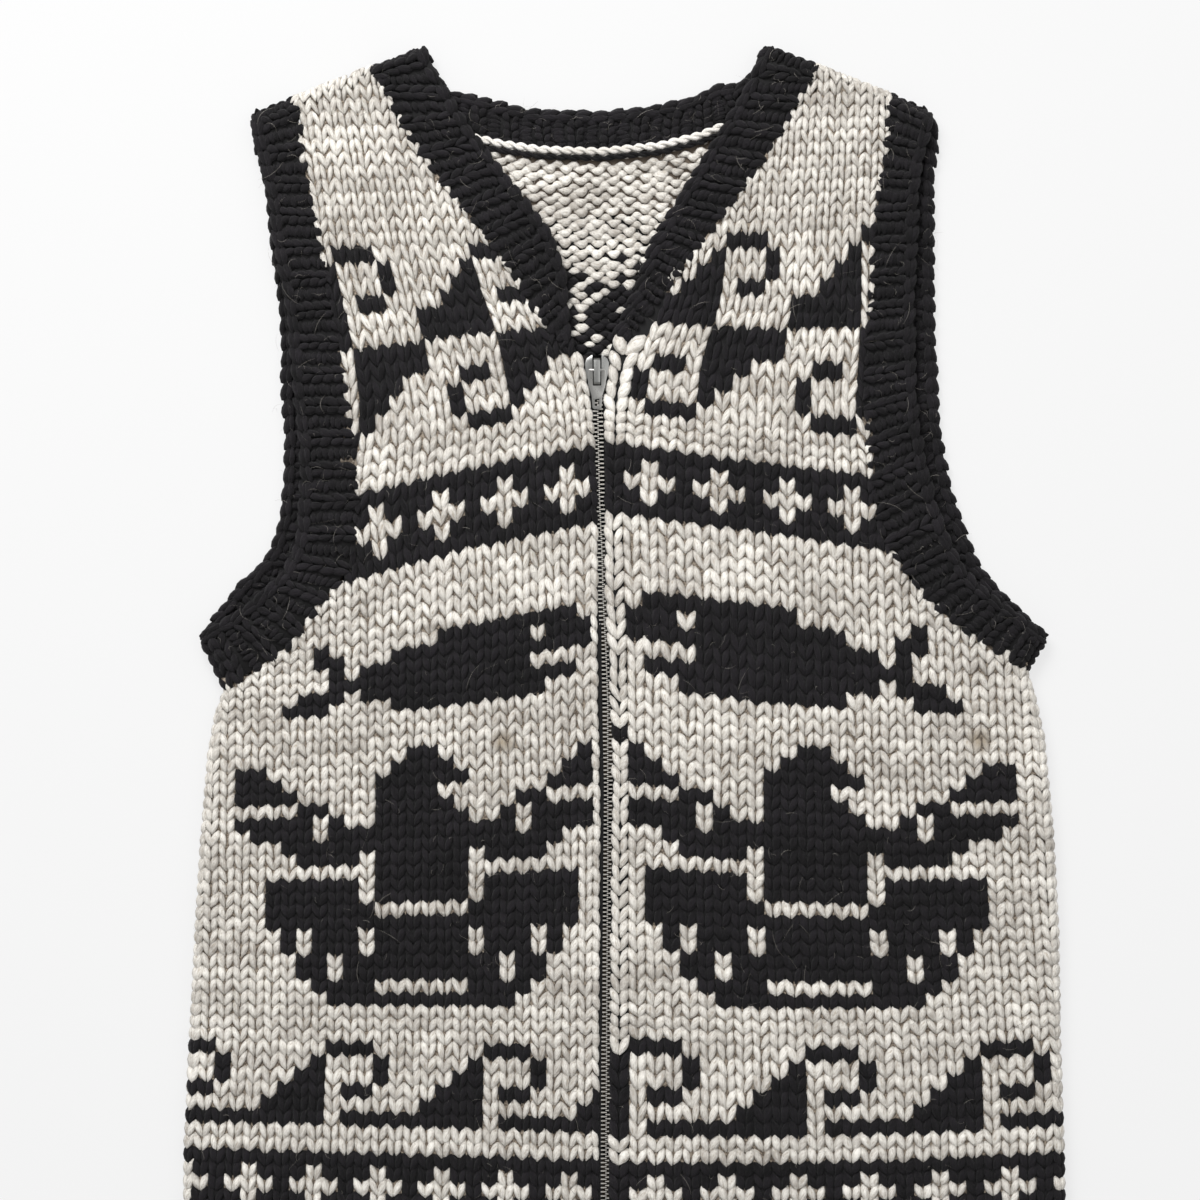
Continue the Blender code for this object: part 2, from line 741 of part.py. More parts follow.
def zip_slider():
    """Two plates joined by a wedge at the crown, with flanges round the chain and a bridge on top."""
    material = finish("zip_slider_metal", NICKEL, 0.3, 1.0)
    cx, cy, _ = PIVOT
    right = [(cx + w, cy + y) for w, y in SLIDER_HALF]
    outline = [(cx - w, cy + y) for w, y in reversed(SLIDER_HALF)] + right
    slider = prism("zip_slider", outline, SLIDER_TOP - PLATE, SLIDER_TOP, material)
    parts = [prism("slider_foot_plate", outline, SLIDER_FOOT, SLIDER_FOOT + PLATE, material)]
    wedge = [(cx - 1.4, cy + 7.6), (cx - 1.4, cy + 2.5), (cx, cy + 0.5), (cx + 1.4, cy + 2.5), (cx + 1.4, cy + 7.6)]
    parts.append(prism("slider_wedge", wedge, SLIDER_FOOT + 0.3, SLIDER_TOP - 0.3, material))
    for side in (-1, 1):
        flange = [
            (cx + side * 3.6, cy - 9.6),
            (cx + side * 4.4, cy - 9.6),
            (cx + side * 4.9, cy - 6.0),
            (cx + side * 5.4, cy - 4.0),
            (cx + side * 4.4, cy - 4.0),
        ]
        high = prism(f"slider_flange_high_{side + 1}", flange, TAPE_AT_CHAIN + 1.15, SLIDER_TOP - 0.3, material)
        low = prism(f"slider_flange_low_{side + 1}", flange, SLIDER_FOOT + 0.3, TAPE_AT_CHAIN - 0.35, material)
        parts += [high, low]
    parts.append(bridge(material))
    union(slider, parts)


def bridge(material):
    """The low arch on the slider that the pull tab hangs from."""
    cx, cy, _ = PIVOT
    half = 1.8
    deck = SLIDER_TOP - 0.3
    head = PIVOT[2] + 2.1
    bar = 0.9
    profile = [
        (6.6, deck), (6.6, head - 1.2), (5.4, head), (-6.7, head), (-7.9, head - 1.2), (-7.9, deck),
        (-7.0, deck), (-7.0, head - 1.5), (-6.4, head - bar), (5.1, head - bar), (5.7, head - 1.5), (5.7, deck),
    ]
    rings = [[(cx + side * half, cy + y, z) for y, z in profile] for side in (-1, 1)]
    return tube("slider_bridge", rings, material)


TAB_LENGTH = 21.5
TAB_THICK = 1.2
TAB_SLOPE = 4.3
CROSSBAR = 0.8


def zip_pull():
    """The pull tab: a tapered plate with a slot round the bridge and a crossbar under it."""
    material = finish("zip_pull_metal", NICKEL, 0.3, 1.0)
    half = TAB_THICK / 2
    outline = [
        (-4.2, 0.6), (-4.9, -0.4), (-4.9, -7.5), (-3.0, -14.0), (-2.5, -20.6), (-1.6, -TAB_LENGTH),
        (1.6, -TAB_LENGTH), (2.5, -20.6), (3.0, -14.0), (4.9, -7.5), (4.9, -0.4), (4.2, 0.6),
    ]
    tab = prism("zip_pull", outline, -half, half, material)
    slot = prism("pull_slot", [(-2.3, -8.5), (2.3, -8.5), (2.3, 1.2), (-2.3, 1.2)], -2, 2, material)
    hole = prism("pull_hole", [(-1.2, -19.6), (1.2, -19.6), (1.2, -15.8), (-1.2, -15.8)], -2, 2, material)
    for cutter in (slot, hole):
        cutter.hide_render = True
        cutter.display_type = "WIRE"
        cut = tab.modifiers.new("cut_" + cutter.name, "BOOLEAN")
        cut.operation = "DIFFERENCE"
        cut.solver = "EXACT"
        cut.object = cutter
    sides = 12
    rings = []
    for x in (-4.0, 4.0):
        angles = [2 * math.pi * k / sides for k in range(sides)]
        rings.append([(x, CROSSBAR * math.cos(a), CROSSBAR * math.sin(a)) for a in angles])
    bar = tube("pull_crossbar", rings, material)
    union(tab, [bar])
    place = Matrix.Translation(Vector(PIVOT) * MM) @ Matrix.Rotation(math.radians(TAB_SLOPE), 4, "X")
    for obj in (tab, slot, hole, bar):
        obj.matrix_world = place


# The vest ------------------------------------------------------------------------------------

for obj in list(bpy.data.objects):
    bpy.data.objects.remove(obj, do_unlink=True)

positions = grid_rows(RIGHT_ROWS, LEFT_ROWS)
front_panel("front_right", RIGHT_ROWS, positions)
front_panel("front_left", LEFT_ROWS, positions)
right_armhole = armhole_lines(RIGHT_ROWS, positions, BACK_SHOWS_RIGHT)
left_armhole = armhole_lines(LEFT_ROWS, positions, BACK_SHOWS_LEFT)
armhole_band("armhole_band_right", right_armhole)
armhole_band("armhole_band_left", left_armhole)
neck_seam = neck_band(neck_lines(RIGHT_ROWS, positions), neck_lines(LEFT_ROWS, positions))
hem_rib()
back_panel(right_armhole, left_armhole, positions, neck_seam)
zip_tape("zip_tape_right", -1)
zip_tape("zip_tape_left", 1)
zip_chain()
zip_box()
zip_slider()
zip_pull()
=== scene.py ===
import math
import random

import bmesh
import bpy
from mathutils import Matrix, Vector
from mathutils.bvhtree import BVHTree


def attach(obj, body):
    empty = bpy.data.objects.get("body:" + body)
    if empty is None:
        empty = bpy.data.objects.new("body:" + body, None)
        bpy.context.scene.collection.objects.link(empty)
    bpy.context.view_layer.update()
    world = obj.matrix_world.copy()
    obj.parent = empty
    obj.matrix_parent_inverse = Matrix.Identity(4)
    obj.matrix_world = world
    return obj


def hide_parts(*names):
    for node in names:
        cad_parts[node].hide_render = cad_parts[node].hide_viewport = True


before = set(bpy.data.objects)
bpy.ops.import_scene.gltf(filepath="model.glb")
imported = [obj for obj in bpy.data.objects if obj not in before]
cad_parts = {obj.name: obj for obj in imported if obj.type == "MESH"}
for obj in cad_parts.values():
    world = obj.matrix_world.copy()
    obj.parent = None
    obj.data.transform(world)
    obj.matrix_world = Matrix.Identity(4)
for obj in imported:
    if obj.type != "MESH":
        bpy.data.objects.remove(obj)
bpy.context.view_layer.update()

# ------------------------------------------------------------------------------------------
# The table and the light.
# The vest lies on a sheet of lit white acrylic under two large soft lamps, seen from straight
# above. None of them is part of the vest.

MM = 0.001
PIXEL = 0.55  # millimetres of the vest in one pixel of the photo


def photo(x, y):
    """A place in the photo as millimetres on the vest."""
    return ((x - 625) * PIXEL, (657 - y) * PIXEL)


def colour(hexed):
    """An sRGB hex value as the linear colour that a shader takes."""
    parts = [int(hexed[i : i + 2], 16) / 255 for i in (1, 3, 5)]
    return tuple(c / 12.92 if c <= 0.04045 else ((c + 0.055) / 1.055) ** 2.4 for c in parts) + (1.0,)


def add_node(tree, kind, inputs=(), take=None, **settings):
    """Adds a node with its settings, its input values and its links.

    A node that is given as a value is linked from its first output. With take, the output of that
    name or identifier comes back in place of the node.
    """
    node = tree.nodes.new(kind)
    for key, value in settings.items():
        setattr(node, key, value)
    for key, value in dict(inputs).items():
        if isinstance(key, str) and key not in node.inputs:
            socket = next(s for s in node.inputs if s.identifier == key)
        else:
            socket = node.inputs[key]
        if isinstance(value, bpy.types.Node):
            value = value.outputs[0]
        if isinstance(value, bpy.types.NodeSocket):
            tree.links.new(value, socket)
        else:
            socket.default_value = value
    return node if take is None else next(s for s in node.outputs if take in (s.name, s.identifier))


def new_material(name):
    """A material with no nodes yet, and its tree."""
    material = bpy.data.materials.new(name)
    material.use_nodes = True
    material.node_tree.nodes.clear()
    return material, material.node_tree


# White acrylic, lit from below: it gives the even pale ground of the photo and a faint shadow.
acrylic, tree = new_material("lit_white_acrylic")
glow = add_node(tree, "ShaderNodeEmission", {"Color": (1, 1, 1, 1), "Strength": 0.885})
face = add_node(tree, "ShaderNodeBsdfDiffuse", {"Color": colour("#e6e6e6")})
both = add_node(tree, "ShaderNodeMixShader", {0: 0.2, 1: glow, 2: face})
add_node(tree, "ShaderNodeOutputMaterial", {"Surface": both})
FLOOR_REACH, FLOOR_HEIGHT = 4, -0.0002  # metres
corners = [(x * FLOOR_REACH, y * FLOOR_REACH, FLOOR_HEIGHT) for x, y in ((-1, -1), (1, -1), (1, 1), (-1, 1))]
floor_mesh = bpy.data.meshes.new("floor")
floor_mesh.from_pydata(corners, [], [(0, 1, 2, 3)])
floor = bpy.data.objects.new("floor", floor_mesh)
bpy.context.scene.collection.objects.link(floor)
floor_mesh.materials.append(acrylic)

world = bpy.data.worlds.new("studio")
bpy.context.scene.world = world
world.use_nodes = True
room_light = world.node_tree.nodes["Background"].inputs
room_light["Color"].default_value = (1, 1, 1, 1)
room_light["Strength"].default_value = 0.58

for lamp_name, place, size, power in (
    ("key_lamp", (-0.5, 1.15, 1.2), 0.9, 32.0),  # metres and watts
    ("fill_lamp", (1.2, 0.3, 2.2), 1.6, 10.0),
):
    lamp_data = bpy.data.lights.new(lamp_name, "AREA")
    lamp_data.size = size
    lamp_data.energy = power
    lamp = bpy.data.objects.new(lamp_name, lamp_data)
    bpy.context.scene.collection.objects.link(lamp)
    lamp.location = place
    lamp.rotation_euler = (-Vector(place)).to_track_quat("-Z", "Y").to_euler()

# The photo is 1200 pixels across, which is 660 mm of the vest, through a long lens.
PHOTO_WIDTH = 1200
lens, sensor, frame_width = 85.0, 36.0, PHOTO_WIDTH * PIXEL * MM
camera_data = bpy.data.cameras.new("camera")
camera_data.lens = lens
camera_data.sensor_width = sensor
camera = bpy.data.objects.new("camera", camera_data)
bpy.context.scene.collection.objects.link(camera)
middle = photo(PHOTO_WIDTH / 2, PHOTO_WIDTH / 2)
FACE_HEIGHT = 0.012  # metres from the table to the fronts' face, where the photo's scale holds
camera.location = (middle[0] * MM, middle[1] * MM, FACE_HEIGHT + frame_width * lens / sensor)
bpy.context.scene.camera = camera
bpy.context.scene.view_settings.view_transform = "Standard"

# ------------------------------------------------------------------------------------------
# The two knitted fronts.
# Thick one-ply wool in stockinette: each stitch is a V of two plump legs, cream or black.
# They are knitted from the hem up, so the rows and columns below give each stitch its place.

SURFACE = {}  # each solid of the vest, to lay stitches on
for node_name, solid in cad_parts.items():
    vertices = [v.co[:] for v in solid.data.vertices]
    SURFACE[node_name] = BVHTree.FromPolygons(vertices, [p.vertices[:] for p in solid.data.polygons])

# Columns are counted out from the zip, and rows up from the hem rib. A line row is the photo's y
# and the x where columns -1, 0, 8, 16 and 26 cross it. A row's line is its number and the y where
# it crosses columns 0, 8, 16 and 26. All are in pixels of the photo.
LINE_COLUMNS = (-1, 0, 8, 16, 26)
ROW_COLUMNS = (0, 8, 16, 26)
RIGHT_LINES = (
    (40, 499, 489, 391, 293, 172),
    (62, 503, 493, 394, 295, 174),
    (90, 508, 498, 397, 296, 174),
    (250, 548, 538, 428, 317, 184),
    (345, 585, 575, 454, 338, 198),
    (400, 595, 585, 465, 344, 200),
    (430, 598, 588, 470, 344, 198),
    (500, 601, 592, 464, 335, 188),
    (583, 601, 592, 469, 344, 192),
    (690, 602, 591, 469, 344, 189),
    (790, 604, 594, 469, 344, 188),
    (900, 603, 594, 468, 343, 187),
    (1045, 602, 593, 468, 342, 184),
    (1160, 602, 593, 466, 338, 176),
    (1240, 602, 593, 465, 336, 172),
)
RIGHT_ROWS = (
    (0, 1228, 1224, 1220, 1214),
    (5, 1160, 1156, 1152, 1147),
    (7, 1133, 1129, 1125, 1121),
    (13, 1046, 1043, 1041, 1038),
    (16, 1008, 1006, 1005, 1003),
    (36, 727, 742, 752, 760),
    (39, 685, 703, 715, 722),
    (45, 600, 624, 645, 660),
    (50, 523, 548, 583, 610),
    (55, 445, 468, 497, 530),
    (58, 408, 428, 455, 480),
    (70, 242, 243, 246, 250),
    (83, 71, 70, 71, 74),
    (88, 4, 3, 3, 3),
)
LEFT_LINES = (
    (40, 670, 694, 793, 894, 1018),
    (90, 668, 692, 792, 893, 1018),
    (245, 648, 672, 781, 889, 1024),
    (298, 640, 666, 778, 890, 1030),
    (345, 610, 643, 770, 890, 1030),
    (368, 608, 634, 767, 889, 1030),
    (400, 604, 628, 765, 886, 1030),
    (500, 605, 622, 763, 893, 1045),
    (583, 605, 624, 764, 893, 1056),
    (660, 609, 627, 765, 896, 1062),
    (760, 613, 628, 764, 898, 1067),
    (900, 611, 628, 764, 903, 1074),
    (1040, 610, 629, 770, 911, 1085),
    (1110, 609, 629, 772, 914, 1089),
    (1240, 609, 629, 772, 915, 1090),
)
LEFT_ROWS = (
    (0, 1228, 1226, 1222, 1214),
    (5, 1163, 1163, 1160, 1150),
    (7, 1137, 1137, 1134, 1124),
    (13, 1036, 1046, 1047, 1036),
    (16, 1004, 1008, 1008, 1000),
    (36, 727, 742, 752, 750),
    (39, 685, 703, 712, 715),
    (45, 588, 604, 622, 640),
    (50, 513, 532, 551, 575),
    (55, 443, 462, 476, 500),
    (58, 412, 428, 438, 455),
    (60, 382, 394, 398, 412),
    (62, 352, 360, 361, 372),
    (66, 292, 295, 292, 300),
    (70, 233, 231, 222, 228),
    (83, 66, 66, 68, 72),
    (88, 0, 0, 2, 5),
)
SIDE_COLUMN = 26.6
TOP_ROW = 86


def between(keys, values, at):
    """A value read between the values at rising keys, and past the last ones on the same slope."""
    i = 0
    while i < len(keys) - 2 and at > keys[i + 1]:
        i += 1
    share = (at - keys[i]) / (keys[i + 1] - keys[i])
    return values[i] + (values[i + 1] - values[i]) * share


def knit_place(lines, rows):
    """A function from a column and a row of the knitting to millimetres on the flat vest."""
    row_keys = [r[0] for r in rows]
    row_heights = list(zip(*[r[1:] for r in rows]))
    line_keys = [line[0] for line in lines]
    line_places = list(zip(*[line[1:] for line in lines]))

    def place(column, row):
        heights = [between(row_keys, h, row) for h in row_heights]
        y = between(ROW_COLUMNS, heights, column)
        crossings = [between(line_keys, p, y) for p in line_places]
        return Vector(photo(between(LINE_COLUMNS, crossings, column), y))

    return place


right_place = knit_place(RIGHT_LINES, RIGHT_ROWS)
left_place = knit_place(LEFT_LINES, LEFT_ROWS)

# The pattern. A wave is ten stitches wide and repeats; rows are numbered up from the hem.
WAVE = ("1-9", "6-9", "12789", "389", "39", "012")
DOUBLE_WAVE = ("012", "39", "389", "12789", "56789", "56789")
WAVE_SPANS = {"1-9": "123456789", "6-9": "6789"}
# Each row of the whale, from its belly up: the black stitches as spans from the zip.
WHALE = (
    ((3, 13), (17, 20)),
    ((1, 15), (16, 19)),
    ((4, 17),),
    ((0, 15), (16, 17)),
    ((0, 3), (4, 13), (16, 18)),
    ((1, 10), (17, 18)),
)


def bird_black(across, up):
    """A bird with raised wings and a spread tail, from its middle and its lowest row."""
    far = abs(across)
    if up < 7:
        pale = {1: far < 3, 2: 5 < far < 6, 3: 5 < far < 6, 4: 3 < far < 4 or 7 < far < 8}
        pale[5] = pale[4]
        return far < 6.4 + 0.6 * up and not pale.get(up, False)
    if up == 7:
        return 3 < far < 10
    if far < (3 if up < 18 else 20.5 - up):
        return not (up == 16 and -3 < across < -1 or up == 15 and -3 < across < -2)
    if up == 10 or (up < 12 and far < 5 - 0.5 * abs(up - 10)):
        return False
    if up < 10:
        return far < 10
    low, high = 11 + 0.8 * max(0.0, far - 8), 13.4 + 0.72 * (far - 4)
    notch = up == 15 and far > 8 or up in (13, 14) and 6 < far < 7
    return far < 12 and low <= up <= high and not notch


def in_spans(spans, column):
    return any(low <= column < high for low, high in spans)


def is_black(side, column, row):
    """Whether this stitch is black. side is right or left, for the two ways the waves roll."""
    right = side == "right"
    if column < 0 and (16 <= row < 50 or row >= 55):
        return not right and row == 35
    if 0 <= row < 5 or 50 <= row < 55:
        if column < 0:
            return True
        level = row % 5 if row < 5 else row - 50
        arm = column % 4
        return not ((arm == 1 and 1 <= level <= 3) or (arm in (0, 2) and level == 2))
    if 7 <= row < 13:
        digits = WAVE[row - 7]
        turn = (6 - column) % 10 if right else column % 10
        return str(turn) in WAVE_SPANS.get(digits, digits)
    if 16 <= row < 36:
        return bird_black(column - 10.5 if right else 10.5 - column, row - 16)
    if 39 <= row < 45:
        return in_spans(WHALE[row - 39], column)
    if 58 <= row < 70:
        from_top = 69 - row
        if from_top < 6:
            turn = (4 - column) % 10 if right else (column - 4) % 10
        else:
            from_top = 11 - from_top
            turn = (column - 5) % 10 if right else (3 - column) % 10
        return str(turn) in DOUBLE_WAVE[from_top]
    return False


# The cloth is rolled over at its sides and shoulders, with this radius to its face.
ROLL = 6.0
FRONT_FACE, BACK_FACE = 12.3, 0.0
RIGHT_SIDE = (
    (-244, -320), (-244, -270), (-241, -210), (-238, -153), (-235, -103), (-231, -55), (-227, -32),
    (-222, -18),
)
LEFT_SIDE = (
    (244, -320), (243, -270), (241, -210), (240, -150), (237, -95), (232, -43), (227, -21), (223, -8),
)
RIGHT_SHOULDER = ((-183, 310), (-141, 327))
LEFT_SHOULDER = ((106, 328), (147, 312))


def depth_in(point, line, inside):
    """How far a point lies in from a fold line, and the way out across that line.

    A point that lies past either end of the line is taken as far from it.
    """
    best = None
    for a, b in zip(line, line[1:]):
        a, b = Vector(a), Vector(b)
        run = b - a
        share = (point - a).dot(run) / run.length_squared
        nearest = a + run * min(max(share, 0.0), 1.0)
        if best is None or (point - nearest).length < best[0]:
            out = Vector((run.y, -run.x)).normalized()
            if out.dot(Vector(inside) - nearest) > 0:
                out = -out
            past = max(-share, share - 1.0) * run.length
            depth = (nearest - point).dot(out) if past < 4.0 else 1000.0
            best = ((point - nearest).length, depth, out)
    return best[1], best[2]


def lay(point, node, folds, up, slack=0.0):
    """Lays a flat point on the vest: its place on the cloth's face and the way that faces, or None.

    Past a fold's start the cloth rolls over it. up is 1 for the front's face, -1 for the back's.
    A point up to slack beside the cloth still takes the height of its edge.
    """
    turn, way = 0.0, Vector((0.0, 0.0))
    for line, inside in folds:
        depth, out = depth_in(point, line, inside)
        if depth < ROLL:
            angle = (ROLL - depth) / ROLL
            if angle > math.pi / 2 + 0.12:
                return None
            angle = min(angle, math.pi / 2)
            point = point - out * (ROLL * (1 - math.sin(angle)) - depth)
            turn, way = max(turn, angle), way + out
    probe = point - (way.normalized() * 1.5 if turn else way)
    for aside in (0.0, slack):
        start = Vector(((probe.x + aside) * MM, probe.y * MM, 0.05 * up))
        hit = SURFACE[node].ray_cast(start, Vector((0, 0, -up)))
        if hit[0] is not None or slack == 0.0:
            break
    if hit[0] is None:
        return None
    if turn == 0.0:
        height = hit[0].z / MM
        facing = hit[1].copy()
        if facing.z * up < 0:
            facing = -facing
        facing = (facing + Vector((0, 0, up))).normalized()
        return Vector((point.x, point.y, height)), facing
    way = way.normalized()
    face = FRONT_FACE if up > 0 else BACK_FACE
    height = face - up * ROLL * (1 - math.cos(turn))
    facing = Vector((way.x * math.sin(turn), way.y * math.sin(turn), up * math.cos(turn)))
    return Vector((point.x, point.y, height)), facing


STITCH_WIDTH = 9.3  # the usual pitch of the columns


def stitch_legs(place, columns, rows, node, folds, up, sink, black, slack=0.0, edge=()):
    """Two legs for each stitch of a panel: middle, along, facing, share of the usual width, and black or not.

    edge gives the column beside the zip, at -1, and which of its legs show.
    """
    hand = random.Random(node + str(up))
    legs = []
    for row in rows:
        for column in columns:
            dark = black(column, row)
            pull = hand.gauss(0, 0.22)
            for side in (-1, 1):
                if edge and column == -1 and (side not in edge or row > 62):
                    continue
                low = place(column + 0.5 + 0.07 * side, row - 0.24)
                high = place(column + 0.5 + 0.43 * side, row + 1.12)
                drift = Vector((hand.gauss(0, 0.16), pull + hand.gauss(0, 0.2)))
                found = lay((low + high) / 2 + drift, node, folds, up, slack if column < 1 else 0.0)
                if found is None:
                    continue
                middle, facing = found
                pitch = (place(column + 1, row) - place(column, row)).length
                if edge and column == -1:
                    pitch = max(pitch, STITCH_WIDTH + 0.1)
                    middle = middle + facing * 0.6
                flat = Vector((high.x - low.x, high.y - low.y, 0.0))
                along = flat - facing * flat.dot(facing)
                if along.length < 0.2 * flat.length:
                    continue
                along = along.normalized() * flat.length * hand.gauss(1.0, 0.03)
                depth = sink
                if up > 0 and facing.z > 0.9 and column > 0:
                    # Beside a band a leg tips down, so that its end goes under the band.
                    for way in (1, -1):
                        end = middle + along * (0.5 * way)
                        over_end = Vector((end.x * MM, end.y * MM, 0.05))
                        if SURFACE[node].ray_cast(over_end, Vector((0, 0, -1)))[0] is None:
                            facing = (facing + along.normalized() * (0.45 * way)).normalized()
                            along = along - facing * along.dot(facing)
                            depth += 0.5
                legs.append((middle - facing * depth, along, facing, pitch / STITCH_WIDTH, dark))
    return legs


def points_object(name, places, vectors, numbers):
    """Loose points that carry what the stitch tree reads from each."""
    mesh = bpy.data.meshes.new(name)
    mesh.from_pydata([p * MM for p in places], [], [])
    for key, values in vectors.items():
        layer = mesh.attributes.new(key, "FLOAT_VECTOR", "POINT")
        layer.data.foreach_set("vector", [c for v in values for c in v])
    for key, values in numbers.items():
        layer = mesh.attributes.new(key, "FLOAT", "POINT")
        layer.data.foreach_set("value", values)
    obj = bpy.data.objects.new(name, mesh)
    bpy.context.scene.collection.objects.link(obj)
    return obj


def add_input(tree, name, kind, value=None):
    """A named input of a node tree, with its usual value."""
    socket = tree.interface.new_socket(name, in_out="INPUT", socket_type=kind)
    if value is not None:
        socket.default_value = value


def yarn_leg_tree():
    """One plump leg of yarn on each point, lying along it, with a little unevenness."""
    tree = bpy.data.node_groups.new("yarn_legs", "GeometryNodeTree")
    add_input(tree, "Points", "NodeSocketGeometry")
    for name, value in (
        ("Thickness", 0.0044), ("Depth", 0.0037), ("Dip Low", 0.0008), ("Dip High", 0.0017), ("Bow", 0.0),
        ("Unevenness", 0.16), ("Point Size", 0.2),
    ):
        add_input(tree, name, "NodeSocketFloat", value)
    for name, value in (("Rings", 4), ("Sides", 6), ("Seed", 3)):
        add_input(tree, name, "NodeSocketInt", value)
    add_input(tree, "Wool", "NodeSocketMaterial")
    tree.interface.new_socket("Legs", in_out="OUTPUT", socket_type="NodeSocketGeometry")
    given = add_node(tree, "NodeGroupInput").outputs

    # The yarn bows up out of the cloth. Its own middle lies on the point and its ends dip in.
    dips = add_node(tree, "ShaderNodeMath", {0: given["Dip Low"], 1: given["Dip High"]}, operation="ADD")
    rise = add_node(tree, "ShaderNodeMath", {0: dips, 1: 0.5}, operation="MULTIPLY")
    low_dip = add_node(tree, "ShaderNodeMath", {0: given["Dip Low"], 1: -1.0}, operation="MULTIPLY")
    high_dip = add_node(tree, "ShaderNodeMath", {0: given["Dip High"], 1: -1.0}, operation="MULTIPLY")
    start = add_node(tree, "ShaderNodeCombineXYZ", {"Y": -0.5, "Z": low_dip})
    middle = add_node(tree, "ShaderNodeCombineXYZ", {"X": given["Bow"], "Z": rise})
    end = add_node(tree, "ShaderNodeCombineXYZ", {"Y": 0.5, "Z": high_dip})
    spine = add_node(
        tree, "GeometryNodeCurveQuadraticBezier",
        {"Resolution": given["Rings"], "Start": start, "Middle": middle, "End": end},
    )
    step = add_node(tree, "GeometryNodeSplineParameter", take="Factor")
    plump = add_node(tree, "ShaderNodeFloatCurve", {"Value": step})
    line = plump.mapping.curves[0]
    line.points[0].location = (0.0, 0.0)
    line.points[1].location = (1.0, 0.28)
    for x, y in ((0.16, 0.5), (0.36, 0.93), (0.6, 1.0), (0.84, 0.76)):
        line.points.new(x, y)
    plump.mapping.update()
    size = add_node(tree, "ShaderNodeMath", {0: plump, 1: given["Point Size"]}, operation="MAXIMUM")
    half = add_node(tree, "ShaderNodeMath", {0: given["Thickness"], 1: 0.5}, operation="MULTIPLY")
    radius = add_node(tree, "ShaderNodeMath", {0: size, 1: half}, operation="MULTIPLY")
    thick = add_node(tree, "GeometryNodeSetCurveRadius", {"Curve": spine, "Radius": radius})
    ring = add_node(
        tree, "GeometryNodeCurvePrimitiveCircle", {"Resolution": given["Sides"], "Radius": 1.0}, mode="RADIUS"
    )
    leg = add_node(
        tree, "GeometryNodeCurveToMesh",
        {"Curve": thick, "Profile Curve": ring, "Scale": radius, "Fill Caps": True},
    )
    # Each point of the yarn keeps its place along and across the leg, for the wool's fibres.
    kept = add_node(
        tree, "GeometryNodeStoreNamedAttribute",
        {"Geometry": leg, "Name": "grain", "Value": add_node(tree, "GeometryNodeInputPosition")},
        data_type="FLOAT_VECTOR", domain="POINT",
    )
    smooth = add_node(tree, "GeometryNodeSetShadeSmooth", {"Geometry": kept})

    facing = add_node(tree, "GeometryNodeInputNamedAttribute", {"Name": "facing"}, data_type="FLOAT_VECTOR")
    along = add_node(tree, "GeometryNodeInputNamedAttribute", {"Name": "along"}, data_type="FLOAT_VECTOR")
    pitch = add_node(tree, "GeometryNodeInputNamedAttribute", {"Name": "width"}, data_type="FLOAT")
    turned = add_node(
        tree, "FunctionNodeAxesToRotation", {"Primary Axis": facing, "Secondary Axis": along},
        primary_axis="Z", secondary_axis="Y",
    )
    less = add_node(tree, "ShaderNodeMath", {0: 1.0, 1: given["Unevenness"]}, operation="SUBTRACT")
    more = add_node(tree, "ShaderNodeMath", {0: 1.0, 1: given["Unevenness"]}, operation="ADD")
    wander = 0.17  # radians that a leg may turn to either side
    drawn = []
    for low, high, later in ((-wander, wander, 0), (less, more, 11), (0.0, 1.0, 29)):
        seed = add_node(tree, "ShaderNodeMath", {0: given["Seed"], 1: float(later)}, operation="ADD")
        drawn.append(add_node(
            tree, "FunctionNodeRandomValue", {"Min_001": low, "Max_001": high, "Seed": seed},
            take="Value_001", data_type="FLOAT",
        ))
    wandered = add_node(tree, "ShaderNodeCombineXYZ", {"Z": drawn[0]})
    turn = add_node(tree, "FunctionNodeEulerToRotation", {0: wandered})
    rotation = add_node(
        tree, "FunctionNodeRotateRotation", {"Rotation": turned, "Rotate By": turn}, rotation_space="LOCAL"
    )
    width = add_node(tree, "ShaderNodeMath", {0: pitch, 1: drawn[1]}, operation="MULTIPLY")
    length = add_node(tree, "ShaderNodeVectorMath", {0: along}, take="Value", operation="LENGTH")
    flatness = add_node(
        tree, "ShaderNodeMath", {0: given["Depth"], 1: given["Thickness"]}, operation="DIVIDE"
    )
    scale = add_node(tree, "ShaderNodeCombineXYZ", {"X": width, "Y": length, "Z": flatness})
    spread = add_node(
        tree, "GeometryNodeInstanceOnPoints",
        {"Points": given["Points"], "Instance": smooth, "Rotation": rotation, "Scale": scale},
    )
    lot = add_node(
        tree, "GeometryNodeStoreNamedAttribute", {"Geometry": spread, "Name": "lot", "Value": drawn[2]},
        data_type="FLOAT", domain="INSTANCE",
    )
    real = add_node(tree, "GeometryNodeRealizeInstances", {"Geometry": lot})
    painted = add_node(tree, "GeometryNodeSetMaterial", {"Geometry": real, "Material": given["Wool"]})
    add_node(tree, "NodeGroupOutput", {"Legs": painted})
    return tree


yarn_legs = yarn_leg_tree()


def grow(obj, tree, **inputs):
    """Runs a node tree on an object's points and keeps the result as a plain mesh."""
    modifier = obj.modifiers.new("grow", "NODES")
    modifier.node_group = tree
    for item in tree.interface.items_tree:
        key = item.name.replace(" ", "_")
        if item.in_out == "INPUT" and key in inputs:
            modifier[item.identifier] = inputs[key]
    graph = bpy.context.evaluated_depsgraph_get()
    mesh = bpy.data.meshes.new_from_object(obj.evaluated_get(graph), depsgraph=graph)
    obj.modifiers.remove(modifier)
    old = obj.data
    obj.data = mesh
    bpy.data.meshes.remove(old)
    mesh.name = obj.name
    return obj


